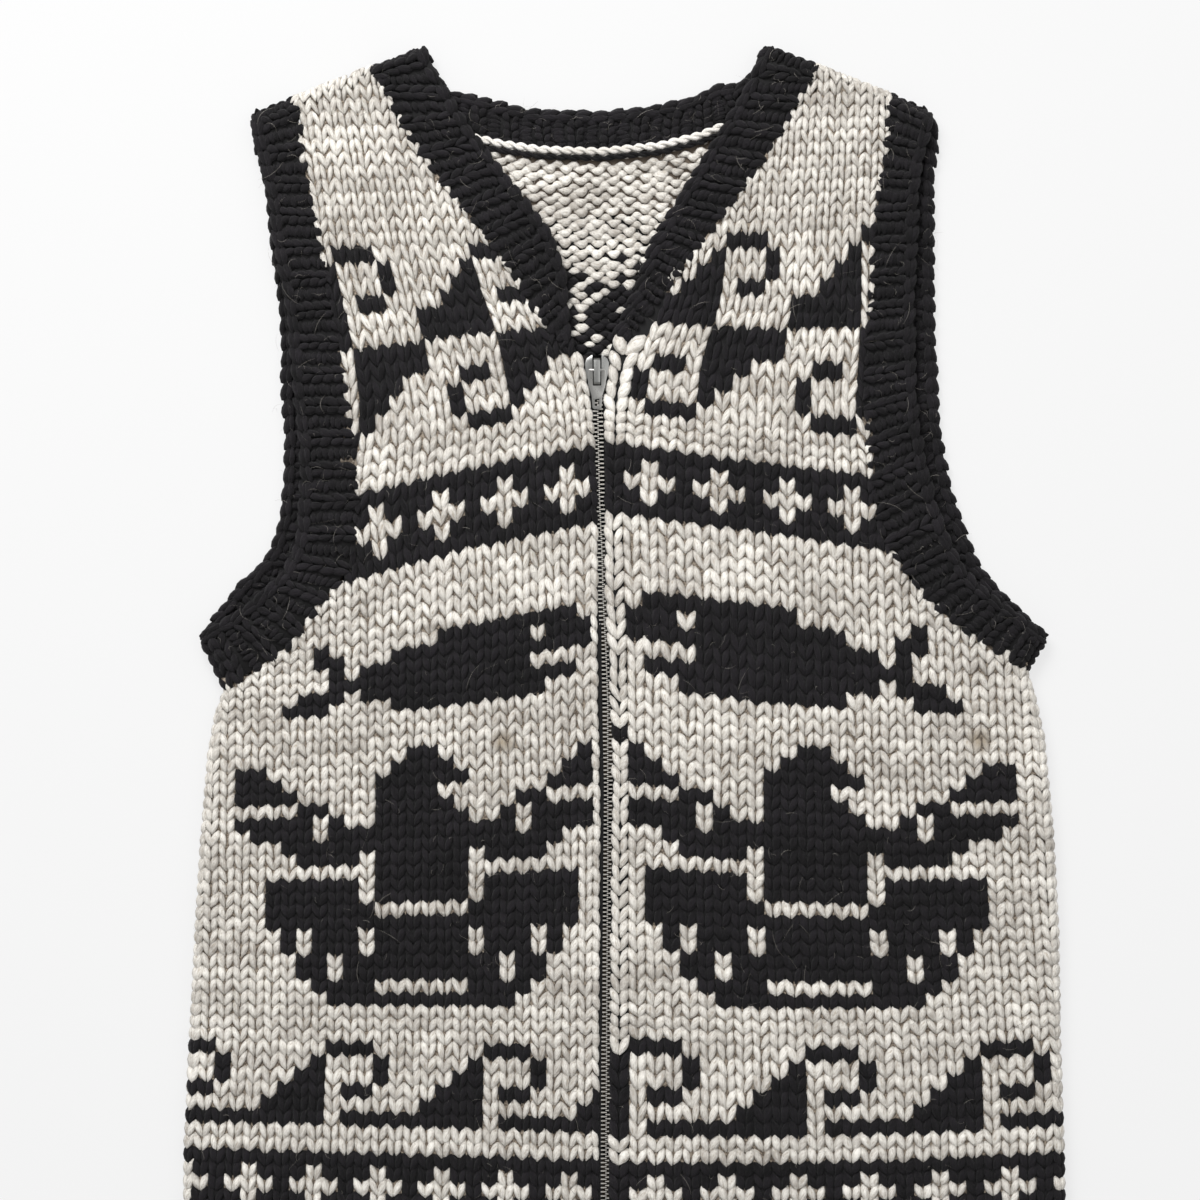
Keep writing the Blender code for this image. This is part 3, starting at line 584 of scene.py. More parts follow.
def yarn_material(name, pale, dark, warm, relief, sheen, stains=()):
    """Soft one-ply wool: fibres run along the yarn, with darker and warmer hairs carded in.

    stains are places in millimetres, each with a radius, where the wool has gone brown.
    """
    material, tree = new_material(name)
    grain = add_node(
        tree, "ShaderNodeAttribute", take="Vector", attribute_name="grain", attribute_type="GEOMETRY"
    )
    lot = add_node(tree, "ShaderNodeAttribute", take="Fac", attribute_name="lot", attribute_type="GEOMETRY")
    # Fibres: streaks 1 mm wide and less, lying a little across the yarn from its soft twist.
    twisted = add_node(tree, "ShaderNodeMapping", {"Vector": grain, "Rotation": (0.0, 0.0, 0.0022)})
    stretched = add_node(tree, "ShaderNodeMapping", {"Vector": twisted, "Scale": (1050.0, 2.0, 1050.0)})
    own = add_node(tree, "ShaderNodeMath", {0: lot, 1: 60.0}, operation="MULTIPLY")
    fibre = add_node(
        tree, "ShaderNodeTexNoise",
        {"Vector": stretched, "W": own, "Scale": 1.0, "Detail": 4.0, "Roughness": 0.72},
        noise_dimensions="4D",
    )
    # Heather: the fleece changes over 20 to 60 mm of cloth, longer along the rows than up them.
    places = add_node(tree, "ShaderNodeTexCoord", take="Object")
    cloudy = add_node(tree, "ShaderNodeMapping", {"Vector": places, "Scale": (24.0, 70.0, 24.0)})
    cloud = add_node(
        tree, "ShaderNodeTexNoise", {"Vector": cloudy, "Scale": 1.0, "Detail": 3.0, "Roughness": 0.65}
    )
    shade = -0.60
    for part, weight in ((fibre, 1.7), (lot, 0.30), (cloud, 1.15)):
        shade = add_node(tree, "ShaderNodeMath", {0: part, 1: weight, 2: shade}, operation="MULTIPLY_ADD")
    ramp = add_node(tree, "ShaderNodeMapRange", {"Value": shade, "From Min": 0.62, "From Max": 1.32})
    tint = add_node(
        tree, "ShaderNodeMix", {"Factor": ramp, "A_Color": colour(dark), "B_Color": colour(pale)},
        take="Result_Color", data_type="RGBA",
    )
    hairs = add_node(
        tree, "ShaderNodeMapRange", {"Value": fibre, "From Min": 0.46, "From Max": 0.3, "To Max": 0.6}
    )
    # Painted shade: where a leg dives under its neighbours, its ends are darkened towards the dark colour.
    ends = add_node(tree, "ShaderNodeSeparateXYZ", {0: grain}, take="Y")
    reach = add_node(tree, "ShaderNodeMath", {0: ends}, operation="ABSOLUTE")
    painted_end_shade = add_node(
        tree, "ShaderNodeMapRange", {"Value": reach, "From Min": 0.3, "From Max": 0.52, "To Max": 0.55}
    )
    layers = [(hairs, warm), (painted_end_shade, dark)]
    for x, y, radius in stains:
        off = add_node(
            tree, "ShaderNodeVectorMath", {0: places, 1: (x * MM, y * MM, STAIN_HEIGHT)},
            take="Value", operation="DISTANCE",
        )
        ragged = add_node(tree, "ShaderNodeMath", {0: cloud, 1: -0.004, 2: off}, operation="MULTIPLY_ADD")
        mark = {"Value": ragged, "From Min": radius * MM, "From Max": 0.0, "To Max": 0.75}
        layers.append((add_node(tree, "ShaderNodeMapRange", mark), "#8f7f68"))
    for share, over in layers:
        tint = add_node(
            tree, "ShaderNodeMix", {"Factor": share, "A_Color": tint, "B_Color": colour(over)},
            take="Result_Color", data_type="RGBA",
        )
    bump = add_node(tree, "ShaderNodeBump", {"Height": fibre, "Strength": relief, "Distance": 0.0014})
    shader = add_node(tree, "ShaderNodeBsdfPrincipled", {
        "Base Color": tint, "Roughness": 0.92, "Specular IOR Level": 0.25,
        "Sheen Weight": sheen, "Sheen Roughness": 0.5, "Normal": bump,
    })
    add_node(tree, "ShaderNodeOutputMaterial", {"Surface": shader})
    return material


# Cream fleece, undyed: pale, with grey and warm hairs, matt and a little fuzzy.
STAIN_HEIGHT = 0.0115  # metres, at the fronts' face
cream_wool = yarn_material(
    "cream_wool", "#f3efe7", "#aaa49c", "#ab9a82", 1.0, 0.12, ((-67.1, -46.8, 5.5), (195.0, -46.0, 7.0))
)
# Black fleece: a soft warm black, hardly shiny, with a grey bloom where fibres stand up.
black_wool = yarn_material("black_wool", "#1c191d", "#050405", "#0a0809", 1.0, 0.04)


def shadow_material(name):
    """The yarn behind the stitches, coloured with painted shade so that it shows as dark chinks: brown shade
    under cream, black under black.
    """
    material, tree = new_material(name)
    tone = add_node(tree, "ShaderNodeAttribute", take="Fac", attribute_name="tone", attribute_type="GEOMETRY")
    places = add_node(tree, "ShaderNodeTexCoord", take="Object")
    fluff = add_node(tree, "ShaderNodeTexNoise", {"Vector": places, "Scale": 900.0, "Detail": 2.0})
    shade = add_node(tree, "ShaderNodeMath", {0: fluff, 1: 0.5, 2: tone}, operation="MULTIPLY_ADD")
    chinks = add_node(tree, "ShaderNodeValToRGB", {"Fac": shade})
    ramp = chinks.color_ramp.elements
    ramp[0].position, ramp[0].color = 0.45, colour("#0d0c0d")
    ramp[1].position, ramp[1].color = 1.3, colour("#958a7c")
    ramp.new(1.0).color = colour("#594f45")
    bump = add_node(tree, "ShaderNodeBump", {"Height": fluff, "Strength": 0.5, "Distance": 0.0005})
    shader = add_node(
        tree, "ShaderNodeBsdfPrincipled", {"Base Color": chinks, "Roughness": 0.95, "Normal": bump}
    )
    add_node(tree, "ShaderNodeOutputMaterial", {"Surface": shader})
    return material


inner_wool = shadow_material("inner_wool")


def knitted_cloth(name, points, cells, tones, thickness, outward):
    """Cloth with its own thickness behind the stitches. outward turns its faces to its outer side."""
    mesh = bpy.data.meshes.new(name)
    mesh.from_pydata([p * MM for p in points], [], cells)
    # tone sets each cell's painted shade: 0 gives black, higher values the brown shade under cream.
    layer = mesh.attributes.new("tone", "FLOAT", "FACE")
    layer.data.foreach_set("value", tones)
    outward(mesh)
    mesh.shade_smooth()
    mesh.materials.append(inner_wool)
    obj = bpy.data.objects.new(name, mesh)
    bpy.context.scene.collection.objects.link(obj)
    wall = obj.modifiers.new("wall", "SOLIDIFY")
    wall.thickness = thickness * MM
    wall.offset = -1.0
    return obj


def cloth_sheet(name, place, columns, rows, node, folds, up, sink, black, thickness, chink=0.75):
    """The knitted cloth behind the stitches, one cell for each stitch, with its own thickness."""
    corners = {}
    for row in range(rows[0], rows[-1] + 2):
        for column in range(columns[0], columns[-1] + 2):
            found = lay(place(column, row), node, folds, up)
            if found:
                corners[column, row] = (found[0] - found[1] * sink, found[1])
    # A cell at an edge with one corner off the solid still gets that corner, a little way past it.
    cells, points, index, tones = [], [], {}, []
    for row in rows:
        for column in columns:
            keys = [(column, row), (column + 1, row), (column + 1, row + 1), (column, row + 1)]
            known = [corners[k] for k in keys if k in corners]
            if len(known) < 2:
                continue
            cell = []
            for k in keys:
                if k not in index:
                    if k in corners:
                        point = corners[k][0]
                    else:
                        flat = place(*k)
                        point = Vector((flat.x, flat.y, sum(c[0].z for c in known) / len(known)))
                        if folds_past(flat, folds) or flat.y > 298:
                            point = None
                    index[k] = None if point is None else len(points)
                    if point is not None:
                        points.append(point)
                cell.append(index[k])
            if None in cell:
                continue
            cells.append(cell)
            tones.append(0.0 if column < 0 <= up or black(column, row) else chink)

    def outward(mesh):
        work = bmesh.new()
        work.from_mesh(mesh)
        bmesh.ops.recalc_face_normals(work, faces=work.faces)
        if sum(f.normal.z for f in work.faces) * up < 0:
            bmesh.ops.reverse_faces(work, faces=work.faces)
        work.to_mesh(mesh)
        work.free()

    return knitted_cloth(name, points, cells, tones, thickness, outward)


def folds_past(point, folds):
    """Whether a flat point lies past where a fold has turned right over."""
    return any(depth_in(point, line, inside)[0] < -ROLL * 0.6 for line, inside in folds)


def stitches(name, legs, material, **inputs):
    """Yarn legs as one piece."""
    obj = points_object(
        name,
        [leg[0] for leg in legs],
        {"along": [leg[1] * MM for leg in legs], "facing": [leg[2] for leg in legs]},
        {"width": [leg[3] for leg in legs]},
    )
    return grow(obj, yarn_legs, Wool=material, **inputs)


# Stray fibres: pale and dark hairs worked loose from the yarn, each with both ends in the cloth.
hair_colours = {}
for name, tint in (("pale_hair", "#96918a"), ("dark_hair", "#2b2729")):
    material, tree = new_material(name)
    shader = add_node(
        tree, "ShaderNodeBsdfPrincipled",
        {"Base Color": colour(tint), "Roughness": 0.7, "Specular IOR Level": 0.3},
    )
    add_node(tree, "ShaderNodeOutputMaterial", {"Surface": shader})
    hair_colours[name] = material


def stray_hairs(name, node, number, material, seed, lift=0.4):
    """Loose hairs strewn over the upper face of a piece."""
    hand = random.Random(seed)
    corners = [v.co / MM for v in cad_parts[node].data.vertices]
    low, high = ([side(c[axis] for c in corners) for axis in (0, 1)] for side in (min, max))
    hairs = []
    while len(hairs) < number:
        x, y = hand.uniform(low[0], high[0]), hand.uniform(low[1], high[1])
        hit = SURFACE[node].ray_cast(Vector((x * MM, y * MM, 0.05)), Vector((0, 0, -1)))
        if hit[0] is None or hit[1].z < 0.8:
            continue
        turn, length = hand.uniform(0, 2 * math.pi), min(hand.expovariate(1 / 5.0) + 2.5, 17.0)
        along = Vector((math.cos(turn), math.sin(turn), hand.gauss(0, 0.06))) * length
        height = hit[0].z / MM + lift + hand.uniform(-0.3, 0.5)
        hairs.append((Vector((x, y, height)), along, Vector((0, 0, 1)), hand.uniform(0.35, 1.3)))
    sizes = {"Thickness": 0.00012, "Depth": 0.0002, "Dip_Low": 0.0016, "Dip_High": 0.0016, "Point_Size": 0.5}
    return stitches(name, hairs, material, Seed=seed, Bow=0.0034, Rings=5, Sides=3, **sizes)


def part_of(body, slot, *pieces):
    """These pieces move with the body. slot is not used."""
    for piece in pieces:
        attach(piece, body)


LEG_SINK = 1.7  # from the cloth's face down to the middle of the yarn
SHEET_SINK = 2.5

# Each fold with a place on its inner side.
RIGHT_FOLDS = ((RIGHT_SIDE, (0, -150)), (RIGHT_SHOULDER, (-150, 0)))
LEFT_FOLDS = ((LEFT_SIDE, (0, -150)), (LEFT_SHOULDER, (120, 0)))

for side, place, folds, flat_size, area in (
    ("right", right_place, RIGHT_FOLDS, (0.246, 0.646), 0.103),
    ("left", left_place, LEFT_FOLDS, (0.262, 0.646), 0.113),
):
    node = "front_" + side
    black = lambda column, row, side=side: is_black(side, column, row)
    columns, rows = range(-1, 28), range(0, TOP_ROW)
    slack, edge = (-3.5, (1,)) if side == "right" else (4.0, (-1, 1))
    sheet = cloth_sheet(node + "_cloth", place, columns, rows, node, folds, 1, SHEET_SINK, black, 1.6)
    legs = stitch_legs(place, columns, rows, node, folds, 1, LEG_SINK, black, slack, edge)
    cream = stitches(node + "_cream_stitches", [leg for leg in legs if not leg[4]], cream_wool, Seed=5)
    dark = stitches(node + "_black_stitches", [leg for leg in legs if leg[4]], black_wool, Seed=8)
    pale = stray_hairs(node + "_pale_hairs", node, 400, hair_colours["pale_hair"], 51)
    dusky = stray_hairs(node + "_dark_hairs", node, 160, hair_colours["dark_hair"], 52)
    on_it = [cream, dark, pale, dusky]
    part_of("vest", node + "_wool", sheet, *on_it)
    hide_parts(node)

# ------------------------------------------------------------------------------------------
# The back.
# Knitted in the same wool on the same rows. Its outer face lies on the table, and its inner
# face, all purl bumps, shows inside the V neck.


def back_place(column, row):
    """A place on the flat back, with column 0 up its middle."""
    right, left = right_place(SIDE_COLUMN, row), left_place(SIDE_COLUMN, row)
    share = (column + SIDE_COLUMN) / (2 * SIDE_COLUMN)
    return right.lerp(left, share)


def back_black(column, row):
    return is_black("left", column, row) if column >= 0 else is_black("right", -1 - column, row)


back_folds = RIGHT_FOLDS[:1] + LEFT_FOLDS[:1] + RIGHT_FOLDS[1:] + LEFT_FOLDS[1:]
back_columns, back_rows = range(-27, 27), range(0, TOP_ROW)
# Behind the foot of the V the carried black yarn shows in every chink.
back_tone = lambda column, row: back_black(column, row) or (54 <= row < 72 and -8 <= column < 6)
# The back's chinks get a lighter painted shade than the fronts' (chink=1.1).
back_sheet = cloth_sheet(
    "back_cloth", back_place, back_columns, back_rows, "back", back_folds, -1, 2.2, back_tone, 1.7, chink=1.1
)
legs = stitch_legs(back_place, back_columns, back_rows, "back", back_folds, -1, 1.95, back_black)
plain = {"Rings": 2, "Sides": 4, "Unevenness": 0.0}
back_cream = stitches(
    "back_cream_stitches", [leg for leg in legs if not leg[4]], cream_wool, Seed=15, **plain
)
back_dark = stitches("back_black_stitches", [leg for leg in legs if leg[4]], black_wool, Seed=18, **plain)

# The purl side: rows of arched bumps, and between them rows of hanging ones half a stitch along.
BUMP_ACROSS, BUMP_UP = 8.8, 5.8
V_MIDDLE, V_FOOT, V_ROW = -15.4, 150, 58  # the foot of the V, and the row it stands on
bumps, hollows = [], []
hand = random.Random(4)
for step in range(-2, 48):
    arched = step % 2 == 0
    for k in range(-13, 13):
        x = V_MIDDLE + (k + (0.0 if arched else 0.5)) * BUMP_ACROSS + hand.gauss(0, 0.35)
        y = V_FOOT + step * BUMP_UP / 2 + 0.0022 * (x + 20) ** 2 + hand.gauss(0, 0.3)
        if y > 276.5 + 0.0022 * (x + 22) ** 2 or abs(x + 16) > 20 + max(0, y - V_FOOT) * 0.78:
            continue
        column, row = math.floor((x - V_MIDDLE) / BUMP_ACROSS + 0.5), int(V_ROW + (y - V_FOOT) / BUMP_UP)
        worked = y < 226 and back_black(column, row)
        if y < 190:
            worked = (2 * k + step) % 5 != 0
        elif y < 218:
            worked = worked or (2 * k + step) % 5 == 0
        bump = (
            Vector((x, y + (-1.7 if arched else 1.3), 5.6 if arched else 5.0)),
            Vector(((8.7 if arched else 7.9) * hand.gauss(1, 0.05), hand.gauss(0, 0.6), 0)),
            Vector((0, 0, 1)), hand.gauss(1.05 if arched else 0.95, 0.06), worked,
        )
        (bumps if arched else hollows).append(bump)
bump_sizes = {
    "Thickness": 0.0045, "Depth": 0.0040, "Dip_Low": 0.0018, "Dip_High": 0.0018,
    "Rings": 6, "Point_Size": 0.3,
}
bump_pieces = []
for name, group, bow in (("arched", bumps, 0.0034), ("hanging", hollows, -0.0026)):
    for dark, wool in ((False, cream_wool), (True, black_wool)):
        bump_pieces.append(
            stitches(
                "back_inner_%s_%s_bumps" % (name, "black" if dark else "cream"),
                [bump for bump in group if bump[4] == dark], wool, Seed=21 + dark, Bow=bow, **bump_sizes,
            )
        )
on_it = [back_cream, back_dark] + bump_pieces
part_of("vest", "back_wool", back_sheet, *on_it)
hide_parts("back")

# ------------------------------------------------------------------------------------------
# The armhole bands.
# Black ribbing picked up round each armhole: ridges of knit stitches across the strip, with
# purl furrows between, and a chain of bound-off stitches along the free edge.

MIDPLANE = 6.15  # half the height of the vest, where a band folds round
LEVEL = Vector((0, 0, MIDPLANE))
RIB_PITCH = 8.8
CHAIN_PITCH, CHAIN_REACH = 9.3, 5.5
SEAM_LAP = 1.3  # the first stitches reach this far over the seam
RIGHT_ARM = (  # seam x, seam y, free edge x, free edge y, from the underarm to the shoulder
    (-222, -18, -234, 14), (-206, -7, -225, 19), (-193, 1, -216, 24), (-183, 9, -208, 30),
    (-174, 22, -201, 36), (-166, 33, -194, 42), (-157, 43, -188, 49), (-151, 56, -183, 59),
    (-149, 75, -180, 75), (-149, 98, -179, 98), (-151, 119, -180, 119), (-154, 141, -183, 141),
    (-159, 169, -185, 169), (-164, 198, -188, 196), (-169, 228, -194, 228), (-174, 251, -197, 252),
    (-178, 274, -201, 272), (-180, 292, -205, 284), (-182, 303, -206, 293), (-183, 310, -207, 299),
)
LEFT_ARM = (
    (223, -8, 234, 13), (211, 1, 224, 19), (198, 9, 215, 26), (186, 17, 205, 33), (175, 25, 196, 40),
    (166, 35, 189, 48), (157, 46, 183, 58), (149, 57, 177, 72), (142, 71, 171, 87), (138, 92, 166, 107),
    (135, 114, 163, 126), (134, 139, 161, 146), (134, 169, 160, 172), (136, 196, 160, 199),
    (138, 225, 161, 225), (140, 250, 162, 251), (144, 275, 164, 271), (146, 293, 168, 285),
    (147, 304, 170, 293), (147, 312, 170, 300),
)


def length_steps(points):
    """The length walked to each point."""
    total = [0.0]
    for a, b in zip(points, points[1:]):
        total.append(total[-1] + (b - a).length)
    return total


FOLD_STEPS = 7  # stations where a strip turns over


def pairs(table):
    """The rows of a table as (seam, edge) pairs of flat points."""
    return [(Vector(row[:2]), Vector(row[2:])) for row in table]


def strip_stations(front, back, fold_at_start):
    """The strip's seam and free edge, in space, with the way it faces, up the front and down the back.

    front and back are (seam, edge) pairs of flat points. The strip turns over where they end.
    """

    def turned_over(last, before, start):
        out = (last[0] - before[0]).normalized()
        for step in range(1, FOLD_STEPS + 1):
            turn = start * (math.pi / 2 - math.pi * step / (FOLD_STEPS + 1))
            facing = Vector((out.x * math.cos(turn), out.y * math.cos(turn), math.sin(turn)))
            stations.append((last[0], last[1], facing, 0))

    stations = [(s, e, Vector((0, 0, 1)), 1) for s, e in front]
    turned_over(front[-1], front[-2], 1)
    stations += [(s, e, Vector((0, 0, -1)), -1) for s, e in reversed(back)]
    if fold_at_start:
        turned_over(front[0], front[1], -1)
    return [
        (s.to_3d() + LEVEL + f * MIDPLANE, e.to_3d() + LEVEL + f * MIDPLANE, f, layer)
        for s, e, f, layer in stations
    ]


def walk(stations, spacing, closed, offset=0.5):
    """Stations at even spacing along a strip."""
    ring = stations + [stations[0]] if closed else stations
    total = length_steps([(s[0] + s[1]) / 2 for s in ring])
    count = round(total[-1] / spacing)
    found = []
    for k in range(count):
        at = (k + offset) * total[-1] / count
        i = max(j for j in range(len(total) - 1) if total[j] <= at)
        share = (at - total[i]) / max(total[i + 1] - total[i], 1e-9)
        a, b = ring[i], ring[i + 1]
        facing = a[2].lerp(b[2], share)
        onward = (b[0] + b[1] - a[0] - a[1]).normalized()
        seam, edge = a[0].lerp(b[0], share), a[1].lerp(b[1], share)
        found.append((seam, edge, facing.normalized(), a[3] or b[3], onward))
    return found


def rib_legs(stations, closed, rib_rows, chain_width=7.0, ridge=1.2, seed=1):
    """The yarn legs of a ribbed strip: knit and purl stitches in turn, and the chain along its edge."""
    hand = random.Random(seed)
    legs = []
    for number, (seam, edge, facing, layer, onward) in enumerate(walk(stations, RIB_PITCH, closed)):
        across = edge - seam
        width = across.length
        across = across / width
        pitch = (width - chain_width + 2.8) / rib_rows
        lift = ridge if layer == 1 else -0.5
        for step in range(rib_rows):
            if number % 2 == 0:
                for side in (-1, 1):
                    low = seam + across * (pitch * (step - 0.3) - SEAM_LAP) + onward * (0.8 * side)
                    high = seam + across * (pitch * (step + 1.1) - SEAM_LAP) + onward * (3.6 * side)
                    middle = (low + high) / 2 - facing * (LEG_SINK + 0.1 - lift)
                    middle += onward * hand.gauss(0, 0.3) + across * hand.gauss(0, 0.3)
                    legs.append((middle, high - low, facing, hand.gauss(0.95, 0.07), True))
            else:
                for half in (0.05, 0.55):
                    middle = seam + across * (pitch * (step + half) - SEAM_LAP)
                    middle -= facing * (LEG_SINK + 0.5 + 0.6 * half - lift)
                    middle += onward * hand.gauss(0, 0.4) + across * hand.gauss(0, 0.2)
                    along = onward * 7.0 + across * hand.gauss(0, 1.2)
                    legs.append((middle, along, facing, hand.gauss(0.9, 0.1), True))
    for seam, edge, facing, layer, onward in walk(stations, CHAIN_PITCH, closed):
        across = (edge - seam).normalized()
        lift = 1.0 if layer == 1 else -0.6
        for side in (-1, 1):
            low = edge - across * (chain_width * 0.62 + 0.3 - 0.6 * side) - onward * CHAIN_REACH
            high = edge - across * (chain_width * 0.36 + 0.5 - 1.9 * side) + onward * CHAIN_REACH
            middle = (low + high) / 2 - facing * (LEG_SINK + (0.7 if side > 0 else 0.0) - lift)
            middle += onward * hand.gauss(0, 0.4) + across * hand.gauss(0, 0.2)
            legs.append((middle, high - low, facing, hand.gauss(1.02, 0.06), True))
    return legs


def strip_sheet(name, stations, closed):
    """The knitted strip behind the stitches."""
    sink, trim, thickness = 2.3, 1.2, 1.7  # below the face, in from the free edge, and of the cloth
    points, faces = [], []
    for seam, edge, facing, layer, onward in walk(stations, 6.0, closed, 0.0 if closed else 0.5):
        across = (edge - seam).normalized()
        points.append(seam - facing * sink - across * 0.6)
        points.append(edge - facing * sink - across * trim)
    count = len(points) // 2
    for k in range(count if closed else count - 1):
        n = (k + 1) % count
        faces.append((2 * k, 2 * k + 1, 2 * n + 1, 2 * n))

    def outward(mesh):
        mesh.update()
        if sum(f.normal.z * (1 if f.center.z > MIDPLANE * MM else -1) for f in mesh.polygons) < 0:
            mesh.flip_normals()

    return knitted_cloth(name, points, faces, [0.0] * len(faces), thickness, outward)


def band_stitches(name, legs, seed, rings=4):
    return stitches(name, legs, black_wool, Seed=seed, Thickness=0.0045, Rings=rings)


def cut_back(line, length):
    """A list of (seam, edge) pairs with this length taken off its end, measured along the seam."""
    line = list(line)
    while len(line) > 2 and (line[-1][0] - line[-2][0]).length <= length:
        length -= (line[-1][0] - line[-2][0]).length
        line.pop()
    run = (line[-1][0] - line[-2][0]).length
    share = 1 - length / run
    line[-1] = (line[-2][0].lerp(line[-1][0], share), line[-2][1].lerp(line[-1][1], share))
    return line


def arm_stations(table, reach, low):
    """An armhole band's stations: the front's, and the back's set out from it so that its edge shows."""
    front = cut_back(pairs(table), MIDPLANE)
    front = cut_back(front[::-1], MIDPLANE)[::-1]
    back = []
    for k, (seam, edge) in enumerate(front):
        down = 1 - k / (len(front) - 1)
        out = (edge - seam).normalized() * reach * math.sin(math.pi * down**low)
        back.append((seam + out, edge + out))
    return strip_stations(front, back, True)


for side, table, reach, low in (("right", RIGHT_ARM, 14.0, 2.1), ("left", LEFT_ARM, 12.6, 0.87)):
    name = "armhole_band_" + side
    stations = arm_stations(table, reach, low)
    band = strip_sheet(name + "_cloth", stations, True)
    band_legs = band_stitches(name + "_stitches", rib_legs(stations, True, 4, seed=5), 31)
    # The inner face of the back half, which shows past the front's edge.
    back_half = [(s.xy, e.xy) for s, e, f, layer in stations if layer == -1]
    inside = [(s.to_3d() + LEVEL, e.to_3d() + LEVEL, Vector((0, 0, 1)), 1) for s, e in back_half]
    inner_legs = band_stitches(name + "_inner_stitches", rib_legs(inside, False, 4, ridge=0.3, seed=6), 33)
    band_hairs = stray_hairs(name + "_hairs", name, 100, hair_colours["pale_hair"], 53, 1.1)
    on_it = [band_legs, inner_legs, band_hairs]
    part_of("vest", name + "_wool", band, *on_it)
    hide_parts(name)

# ------------------------------------------------------------------------------------------
# The neck band.
# One ribbed black strip from the zip up the right front, over the shoulder, round the back
# neck and down the left front. Round the back neck its inner face is the one that shows.

RIGHT_NECK = (
    (-32, 170, -30, 175), (-52, 196, -32, 212), (-66, 220, -40, 234), (-84, 243, -56, 255),
    (-106, 270, -75, 279), (-122, 294, -88, 297), (-132, 315, -98, 313), (-141, 327, -115, 346),
)
LEFT_NECK = (
    (-2, 174, -7, 179), (16, 195, 5, 203), (34, 219, 14, 229), (51, 241, 25, 247), (73, 271, 43, 276),
    (88, 295, 57, 299), (99, 316, 67, 316), (106, 328, 80, 347),
)
BACK_NECK = (
    (-128, 311, -103, 322), (-110, 297, -98, 314), (-81, 286, -80, 310), (-52, 283, -53, 303),
    (-14, 281, -14, 302), (14, 283, 16, 305), (33, 288, 35, 309), (53, 294, 50, 316), (74, 303, 62, 317),
    (92, 314, 68, 322),
)


right_neck = cut_back(pairs(RIGHT_NECK), MIDPLANE)
left_neck = cut_back(pairs(LEFT_NECK), MIDPLANE)
back_neck = [right_neck[-1]] + pairs(BACK_NECK) + [left_neck[-1]]


def front_to_front(right, back, left):
    """The stations of a strip from the right front's zip edge round the back to the left front's."""
    left_part = strip_stations(left, back, False)[: len(left) + FOLD_STEPS]
    return strip_stations(right, back[::-1], False) + left_part[::-1]


neck_stations = front_to_front(right_neck, back_neck, left_neck)
neck = strip_sheet("neck_band_cloth", neck_stations, False)
neck_legs = band_stitches("neck_band_stitches", rib_legs(neck_stations, False, 4, seed=8), 41)
# The inner face of the back neck: the same ribs, on the cloth's upper side.
INNER_HEIGHT = Vector((0, 0, 6.4))
inner_stations = [
    (s.to_3d() + INNER_HEIGHT, e.to_3d() + INNER_HEIGHT, Vector((0, 0, 1)), 1) for s, e in pairs(BACK_NECK)
]
legs = rib_legs(inner_stations, False, 4, ridge=0.8, seed=9)
inner_legs = band_stitches("neck_band_inner_stitches", legs, 43)
neck_hairs = stray_hairs("neck_band_hairs", "neck_band", 120, hair_colours["pale_hair"], 54, 1.1)
on_it = [neck_legs, inner_legs, neck_hairs]
part_of("vest", "neck_band_wool", neck, *on_it)
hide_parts("neck_band")

# ------------------------------------------------------------------------------------------
# The hem rib.
# A plain black rib along the foot of the vest, from one zip edge round the back to the other.
# The photo's edge hides it.

HEM_SEAM, HEM_EDGE = -314, -337.1
HEM_CORNER, CORNER_RISE = 237.9, 7.8  # where the rib turns round the side, and how far it lifts there


def hem_pair(x, rise=0.0):
    return Vector((x, HEM_SEAM + rise)), Vector((x, HEM_EDGE + rise))


right_hem = [hem_pair(-16.5), hem_pair(-HEM_CORNER, CORNER_RISE)]
left_hem = [hem_pair(-4.5), hem_pair(HEM_CORNER, CORNER_RISE)]
hem_stations = front_to_front(right_hem, [right_hem[-1], hem_pair(-10.5), left_hem[-1]], left_hem)
hem_cloth = strip_sheet("hem_rib_cloth", hem_stations, False)
legs = rib_legs(hem_stations, False, 3, chain_width=6.0, seed=12)
hem_legs = band_stitches("hem_rib_stitches", legs, 47, rings=3)
part_of("vest", "hem_rib_wool", hem_cloth, hem_legs)
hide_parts("hem_rib")

# ------------------------------------------------------------------------------------------
# The zip.
# Nickel-plated brass teeth, crimped on two dark woven tapes, with a nickel slider and pull tab.
# The teeth of the two sides alternate, a tooth of one between two of the other.

ZIP_LINE = (
    (-10.5, -339), (-10.5, -278), (-10.0, -189), (-9.5, -112), (-9.5, -24), (-10.5, 4), (-12.0, 31),
    (-12.5, 53), (-14.0, 86), (-15.0, 136), (-15.4, 158), (-15.4, 172),
)
TOOTH_PITCH = 2.3
TOOTH_HALF = 0.85  # half a tooth's height
CHAIN_FOOT, CHAIN_TOP, CHAIN_HEIGHT = -320.0, 152.0, 8.5


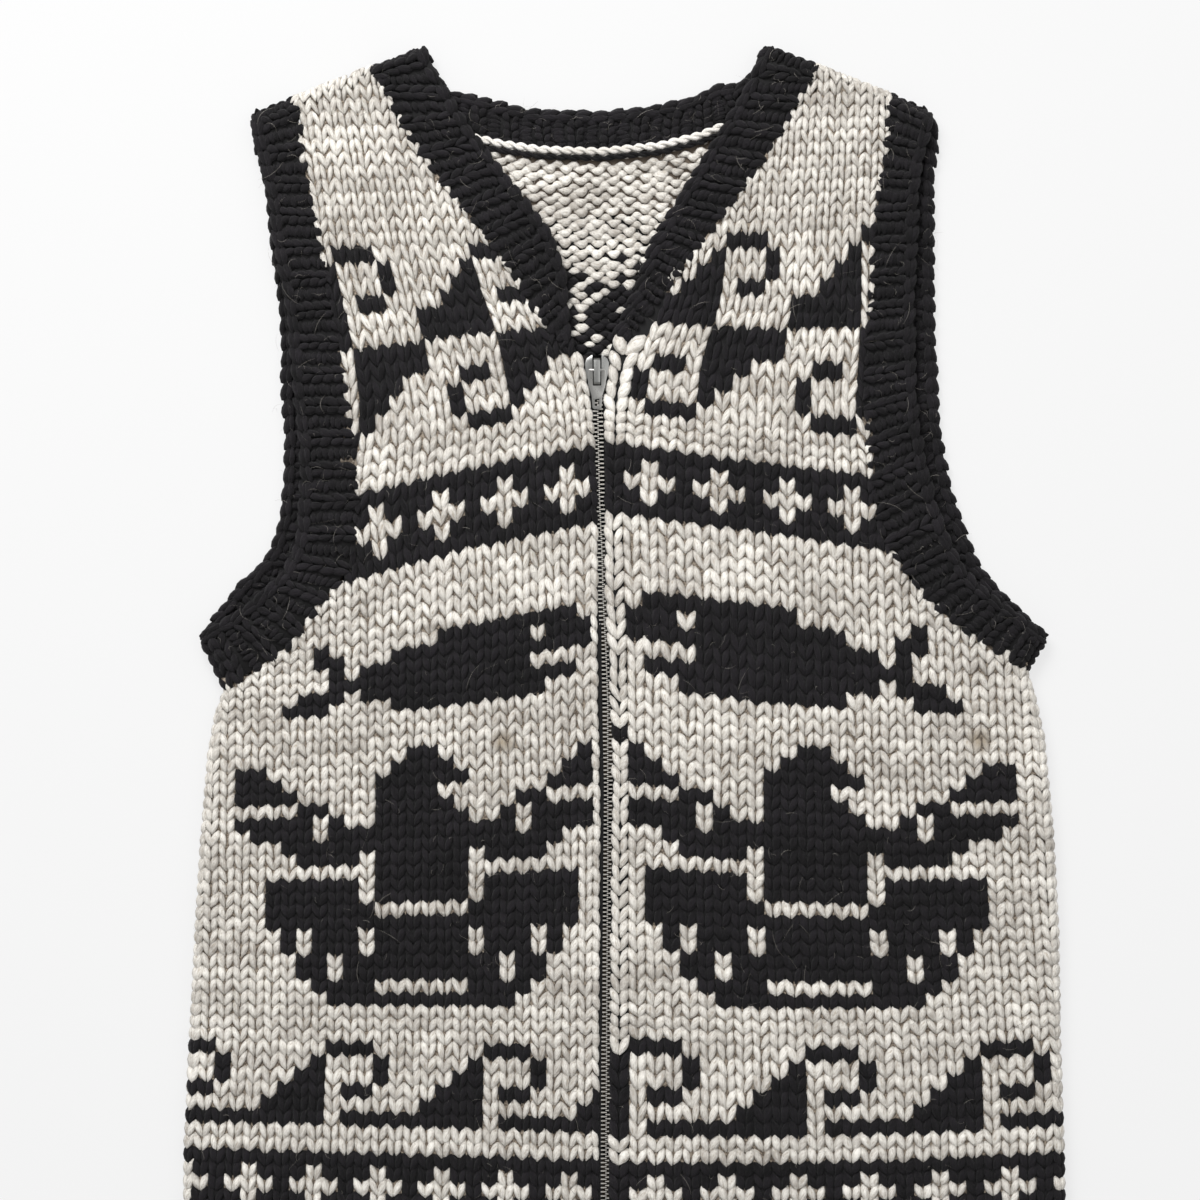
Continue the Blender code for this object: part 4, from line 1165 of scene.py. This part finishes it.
def metal_material(name, base, rough_low, rough_high, scratch, shade=None):
    """Nickel plate over brass: a soft grey mirror, worn in fine scratches.

    shade is x, half a width about it and a height, in millimetres, below which painted shade darkens the
    metal to near black, for the slot under the pull tab.
    """
    material, tree = new_material(name)
    places = add_node(tree, "ShaderNodeTexCoord", take="Object")
    stretched = add_node(tree, "ShaderNodeMapping", {"Vector": places, "Scale": (2400.0, 500.0, 2400.0)})
    marks = add_node(tree, "ShaderNodeTexNoise", {"Vector": stretched, "Scale": 1.0, "Detail": 4.0})
    rough = add_node(tree, "ShaderNodeMapRange", {"Value": marks, "To Min": rough_low, "To Max": rough_high})
    bump = add_node(tree, "ShaderNodeBump", {"Height": marks, "Strength": scratch, "Distance": 0.0001})
    tint = colour(base)
    # Painted shade: the hollow under the pull tab is darkened to near black in the colour.
    if shade:
        x, half_width, height = shade
        at = add_node(tree, "ShaderNodeSeparateXYZ", {0: places}).outputs
        off = add_node(tree, "ShaderNodeMath", {0: at["X"], 1: -x * MM}, operation="ADD")
        off = add_node(tree, "ShaderNodeMath", {0: off}, operation="ABSOLUTE")
        near = add_node(tree, "ShaderNodeMath", {0: off, 1: half_width * MM}, operation="LESS_THAN")
        low = add_node(tree, "ShaderNodeMath", {0: at["Z"], 1: height * MM}, operation="LESS_THAN")
        both = add_node(tree, "ShaderNodeMath", {0: near, 1: low}, operation="MULTIPLY")
        tint = add_node(
            tree, "ShaderNodeMix", {"Factor": both, "A_Color": tint, "B_Color": colour("#050505")},
            take="Result_Color", data_type="RGBA",
        )
    shader = add_node(
        tree, "ShaderNodeBsdfPrincipled",
        {"Base Color": tint, "Metallic": 1.0, "Roughness": rough, "Normal": bump},
    )
    add_node(tree, "ShaderNodeOutputMaterial", {"Surface": shader})
    return material


slider_top = max(v.co.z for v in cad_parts["zip_slider"].data.vertices) / MM
# The slider body carries painted shade in its slot under the pull tab.
nickel = metal_material("nickel_plate", "#8b8b89", 0.2, 0.42, 0.5, (-15.4, 2.5, slider_top - 1.2))
tab_nickel = metal_material("nickel_tab", "#9a9996", 0.2, 0.42, 0.5)
tooth_nickel = metal_material("nickel_teeth", "#cdc9c2", 0.25, 0.45, 0.2)


def zip_x(y):
    return between([p[1] for p in ZIP_LINE], [p[0] for p in ZIP_LINE], y)


def tooth_shape():
    """One tooth: a crimped foot on the tape's edge, a narrow neck and a rounded head."""
    profile = ((-2.9, 0.44), (-1.2, 0.44), (-0.7, 0.34), (-0.2, 0.34), (0.0, 0.44), (0.2, 0.4), (0.35, 0.2))
    outline = [(x, y) for x, y in profile] + [(x, -y) for x, y in reversed(profile)]
    mesh = bpy.data.meshes.new("tooth")
    work = bmesh.new()
    low = [work.verts.new((x * MM, y * MM, -TOOTH_HALF * MM)) for x, y in outline]
    high = [work.verts.new((x * MM * 0.97, y * MM * 0.8, TOOTH_HALF * MM)) for x, y in outline]
    work.faces.new(low[::-1])
    work.faces.new(high)
    for k in range(len(low)):
        n = (k + 1) % len(low)
        work.faces.new((low[k], low[n], high[n], high[k]))
    bmesh.ops.recalc_face_normals(work, faces=work.faces)
    work.to_mesh(mesh)
    work.free()
    obj = bpy.data.objects.new("tooth", mesh)
    bpy.context.scene.collection.objects.link(obj)
    return obj


def tooth_tree():
    """A tooth on each point, turned to face the zip's middle."""
    tree = bpy.data.node_groups.new("zip_teeth", "GeometryNodeTree")
    for name, kind in (("Points", "Geometry"), ("Tooth", "Object"), ("Metal", "Material")):
        add_input(tree, name, "NodeSocket" + kind)
    tree.interface.new_socket("Teeth", in_out="OUTPUT", socket_type="NodeSocketGeometry")
    given = add_node(tree, "NodeGroupInput").outputs
    tooth = add_node(tree, "GeometryNodeObjectInfo", {"Object": given["Tooth"]}, take="Geometry")
    along = add_node(tree, "GeometryNodeInputNamedAttribute", {"Name": "along"}, data_type="FLOAT_VECTOR")
    turned = add_node(
        tree, "FunctionNodeAxesToRotation", {"Primary Axis": (0, 0, 1), "Secondary Axis": along},
        primary_axis="Z", secondary_axis="X",
    )
    spread = add_node(
        tree, "GeometryNodeInstanceOnPoints",
        {"Points": given["Points"], "Instance": tooth, "Rotation": turned},
    )
    real = add_node(tree, "GeometryNodeRealizeInstances", {"Geometry": spread})
    painted = add_node(tree, "GeometryNodeSetMaterial", {"Geometry": real, "Material": given["Metal"]})
    add_node(tree, "NodeGroupOutput", {"Teeth": painted})
    return tree


tooth = tooth_shape()
tooth_places, tooth_ways = [], []
for k in range(int((CHAIN_TOP - CHAIN_FOOT) / (TOOTH_PITCH / 2))):
    y = CHAIN_FOOT + k * TOOTH_PITCH / 2
    side = 1 if k % 2 else -1
    tooth_places.append(Vector((zip_x(y), y, CHAIN_HEIGHT)))
    tooth_ways.append(Vector((-side, 0, 0)))
teeth = points_object("zip_teeth", tooth_places, {"along": tooth_ways}, {})
grow(teeth, tooth_tree(), Tooth=tooth, Metal=tooth_nickel)
bpy.data.objects.remove(tooth)
part_of("vest", "zip_chain_metal", teeth)
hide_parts("zip_chain")

# Brown-black woven polyester tape: fine ribs along its length, matt.
tape, tree = new_material("woven_tape")
places = add_node(tree, "ShaderNodeTexCoord", take="Object")
ribs = add_node(tree, "ShaderNodeTexWave", {"Vector": places, "Scale": 700.0, "Distortion": 1.0}).outputs[1]
bump = add_node(tree, "ShaderNodeBump", {"Height": ribs, "Strength": 0.5, "Distance": 0.0003})
shader = add_node(
    tree, "ShaderNodeBsdfPrincipled", {"Base Color": colour("#1a1210"), "Roughness": 0.8, "Normal": bump}
)
add_node(tree, "ShaderNodeOutputMaterial", {"Surface": shader})
for name in ("zip_tape_right", "zip_tape_left"):
    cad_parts[name].data.materials.clear()
    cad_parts[name].data.materials.append(tape)


def softened(node_name, name, width, metal):
    """A metal part with the small rounded edges of a casting, from its own solid."""
    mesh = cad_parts[node_name].data.copy()
    work = bmesh.new()
    work.from_mesh(mesh)
    bmesh.ops.remove_doubles(work, verts=work.verts, dist=1e-6)
    bmesh.ops.dissolve_limit(work, angle_limit=0.02, verts=work.verts, edges=work.edges)
    sharp = [e for e in work.edges if len(e.link_faces) == 2 and e.calc_face_angle() > 0.5]
    bmesh.ops.bevel(
        work, geom=sharp, offset=width * MM, segments=2, profile=0.5, affect="EDGES", clamp_overlap=True
    )
    bmesh.ops.triangulate(work, faces=work.faces)
    work.to_mesh(mesh)
    work.free()
    mesh.materials.clear()
    mesh.materials.append(metal)
    mesh.shade_smooth()
    obj = bpy.data.objects.new(name, mesh)
    bpy.context.scene.collection.objects.link(obj)
    mesh.set_sharp_from_angle(angle=math.radians(40))
    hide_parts(node_name)
    return obj


for node_name, name, width, body, metal in (
    ("zip_slider", "zip_slider_body", 0.3, "vest", nickel),
    ("zip_pull", "zip_pull_tab", 0.26, "pull", tab_nickel),
    ("zip_box", "zip_retainer_box", 0.4, "vest", tab_nickel),
):
    part_of(body, node_name + "_metal", softened(node_name, name, width, metal))

# ------------------------------------------------------------------------------------------
# The stitching round the back neck.
# A white twisted yarn laid along the seam, and a thin black one under it.


def twisted_yarn(name, line, thickness, material, height):
    """Two plies wound round each other along a line of flat points."""
    points = [Vector((*photo(x, y), height)) for x, y in line]
    total = length_steps(points)
    step = 0.6
    rings, faces, places, index = [], [], [], 0
    for ply in (0, 1):
        first = len(places)
        count = int(total[-1] / step)
        for k in range(count + 1):
            at = total[-1] * k / count
            here = Vector([between(total, [p[c] for p in points], at) for c in range(3)])
            ahead = Vector([between(total, [p[c] for p in points], at + 0.5) for c in range(3)])
            along = (ahead - here).normalized()
            flat = Vector((-along.y, along.x, 0))
            turn = at / 6.5 * math.pi + ply * math.pi
            up = Vector((0, 0, 1))
            centre = here + (flat * math.cos(turn) + up * math.sin(turn)) * thickness * 0.24
            for side in range(6):
                angle = side * math.pi / 3
                spoke = flat * math.cos(angle) + up * math.sin(angle)
                places.append(centre + spoke * thickness * 0.27)
        for k in range(count):
            for side in range(6):
                n = (side + 1) % 6
                a, b = first + k * 6, first + (k + 1) * 6
                faces.append((a + side, a + n, b + n, b + side))
        faces.append(tuple(range(first, first + 6))[::-1])
        faces.append(tuple(range(len(places) - 6, len(places))))
    mesh = bpy.data.meshes.new(name)
    mesh.from_pydata([p * MM for p in places], [], faces)
    work = bmesh.new()
    work.from_mesh(mesh)
    bmesh.ops.recalc_face_normals(work, faces=work.faces)
    work.to_mesh(mesh)
    work.free()
    layer = mesh.attributes.new("grain", "FLOAT_VECTOR", "POINT")
    layer.data.foreach_set("vector", [c for p in places for c in (p.x * MM, p.z * MM, p.y * MM)])
    mesh.shade_smooth()
    mesh.materials.append(material)
    obj = bpy.data.objects.new(name, mesh)
    bpy.context.scene.collection.objects.link(obj)
    part_of("vest", "back_wool", obj)


white_wool = yarn_material("white_yarn", "#fffdfa", "#dcd7cf", "#d6cfc4", 0.8, 0.1)
twisted_yarn(
    "back_neck_white_yarn",
    ((474, 136), (500, 142), (540, 148), (600, 150), (660, 144), (700, 134), (724, 124)),
    4.6, white_wool, 7.2,
)
twisted_yarn(
    "back_neck_black_yarn",
    ((480, 145), (500, 149), (540, 155), (600, 157), (660, 151), (700, 141), (720, 133)),
    3.4, black_wool, 6.9,
)
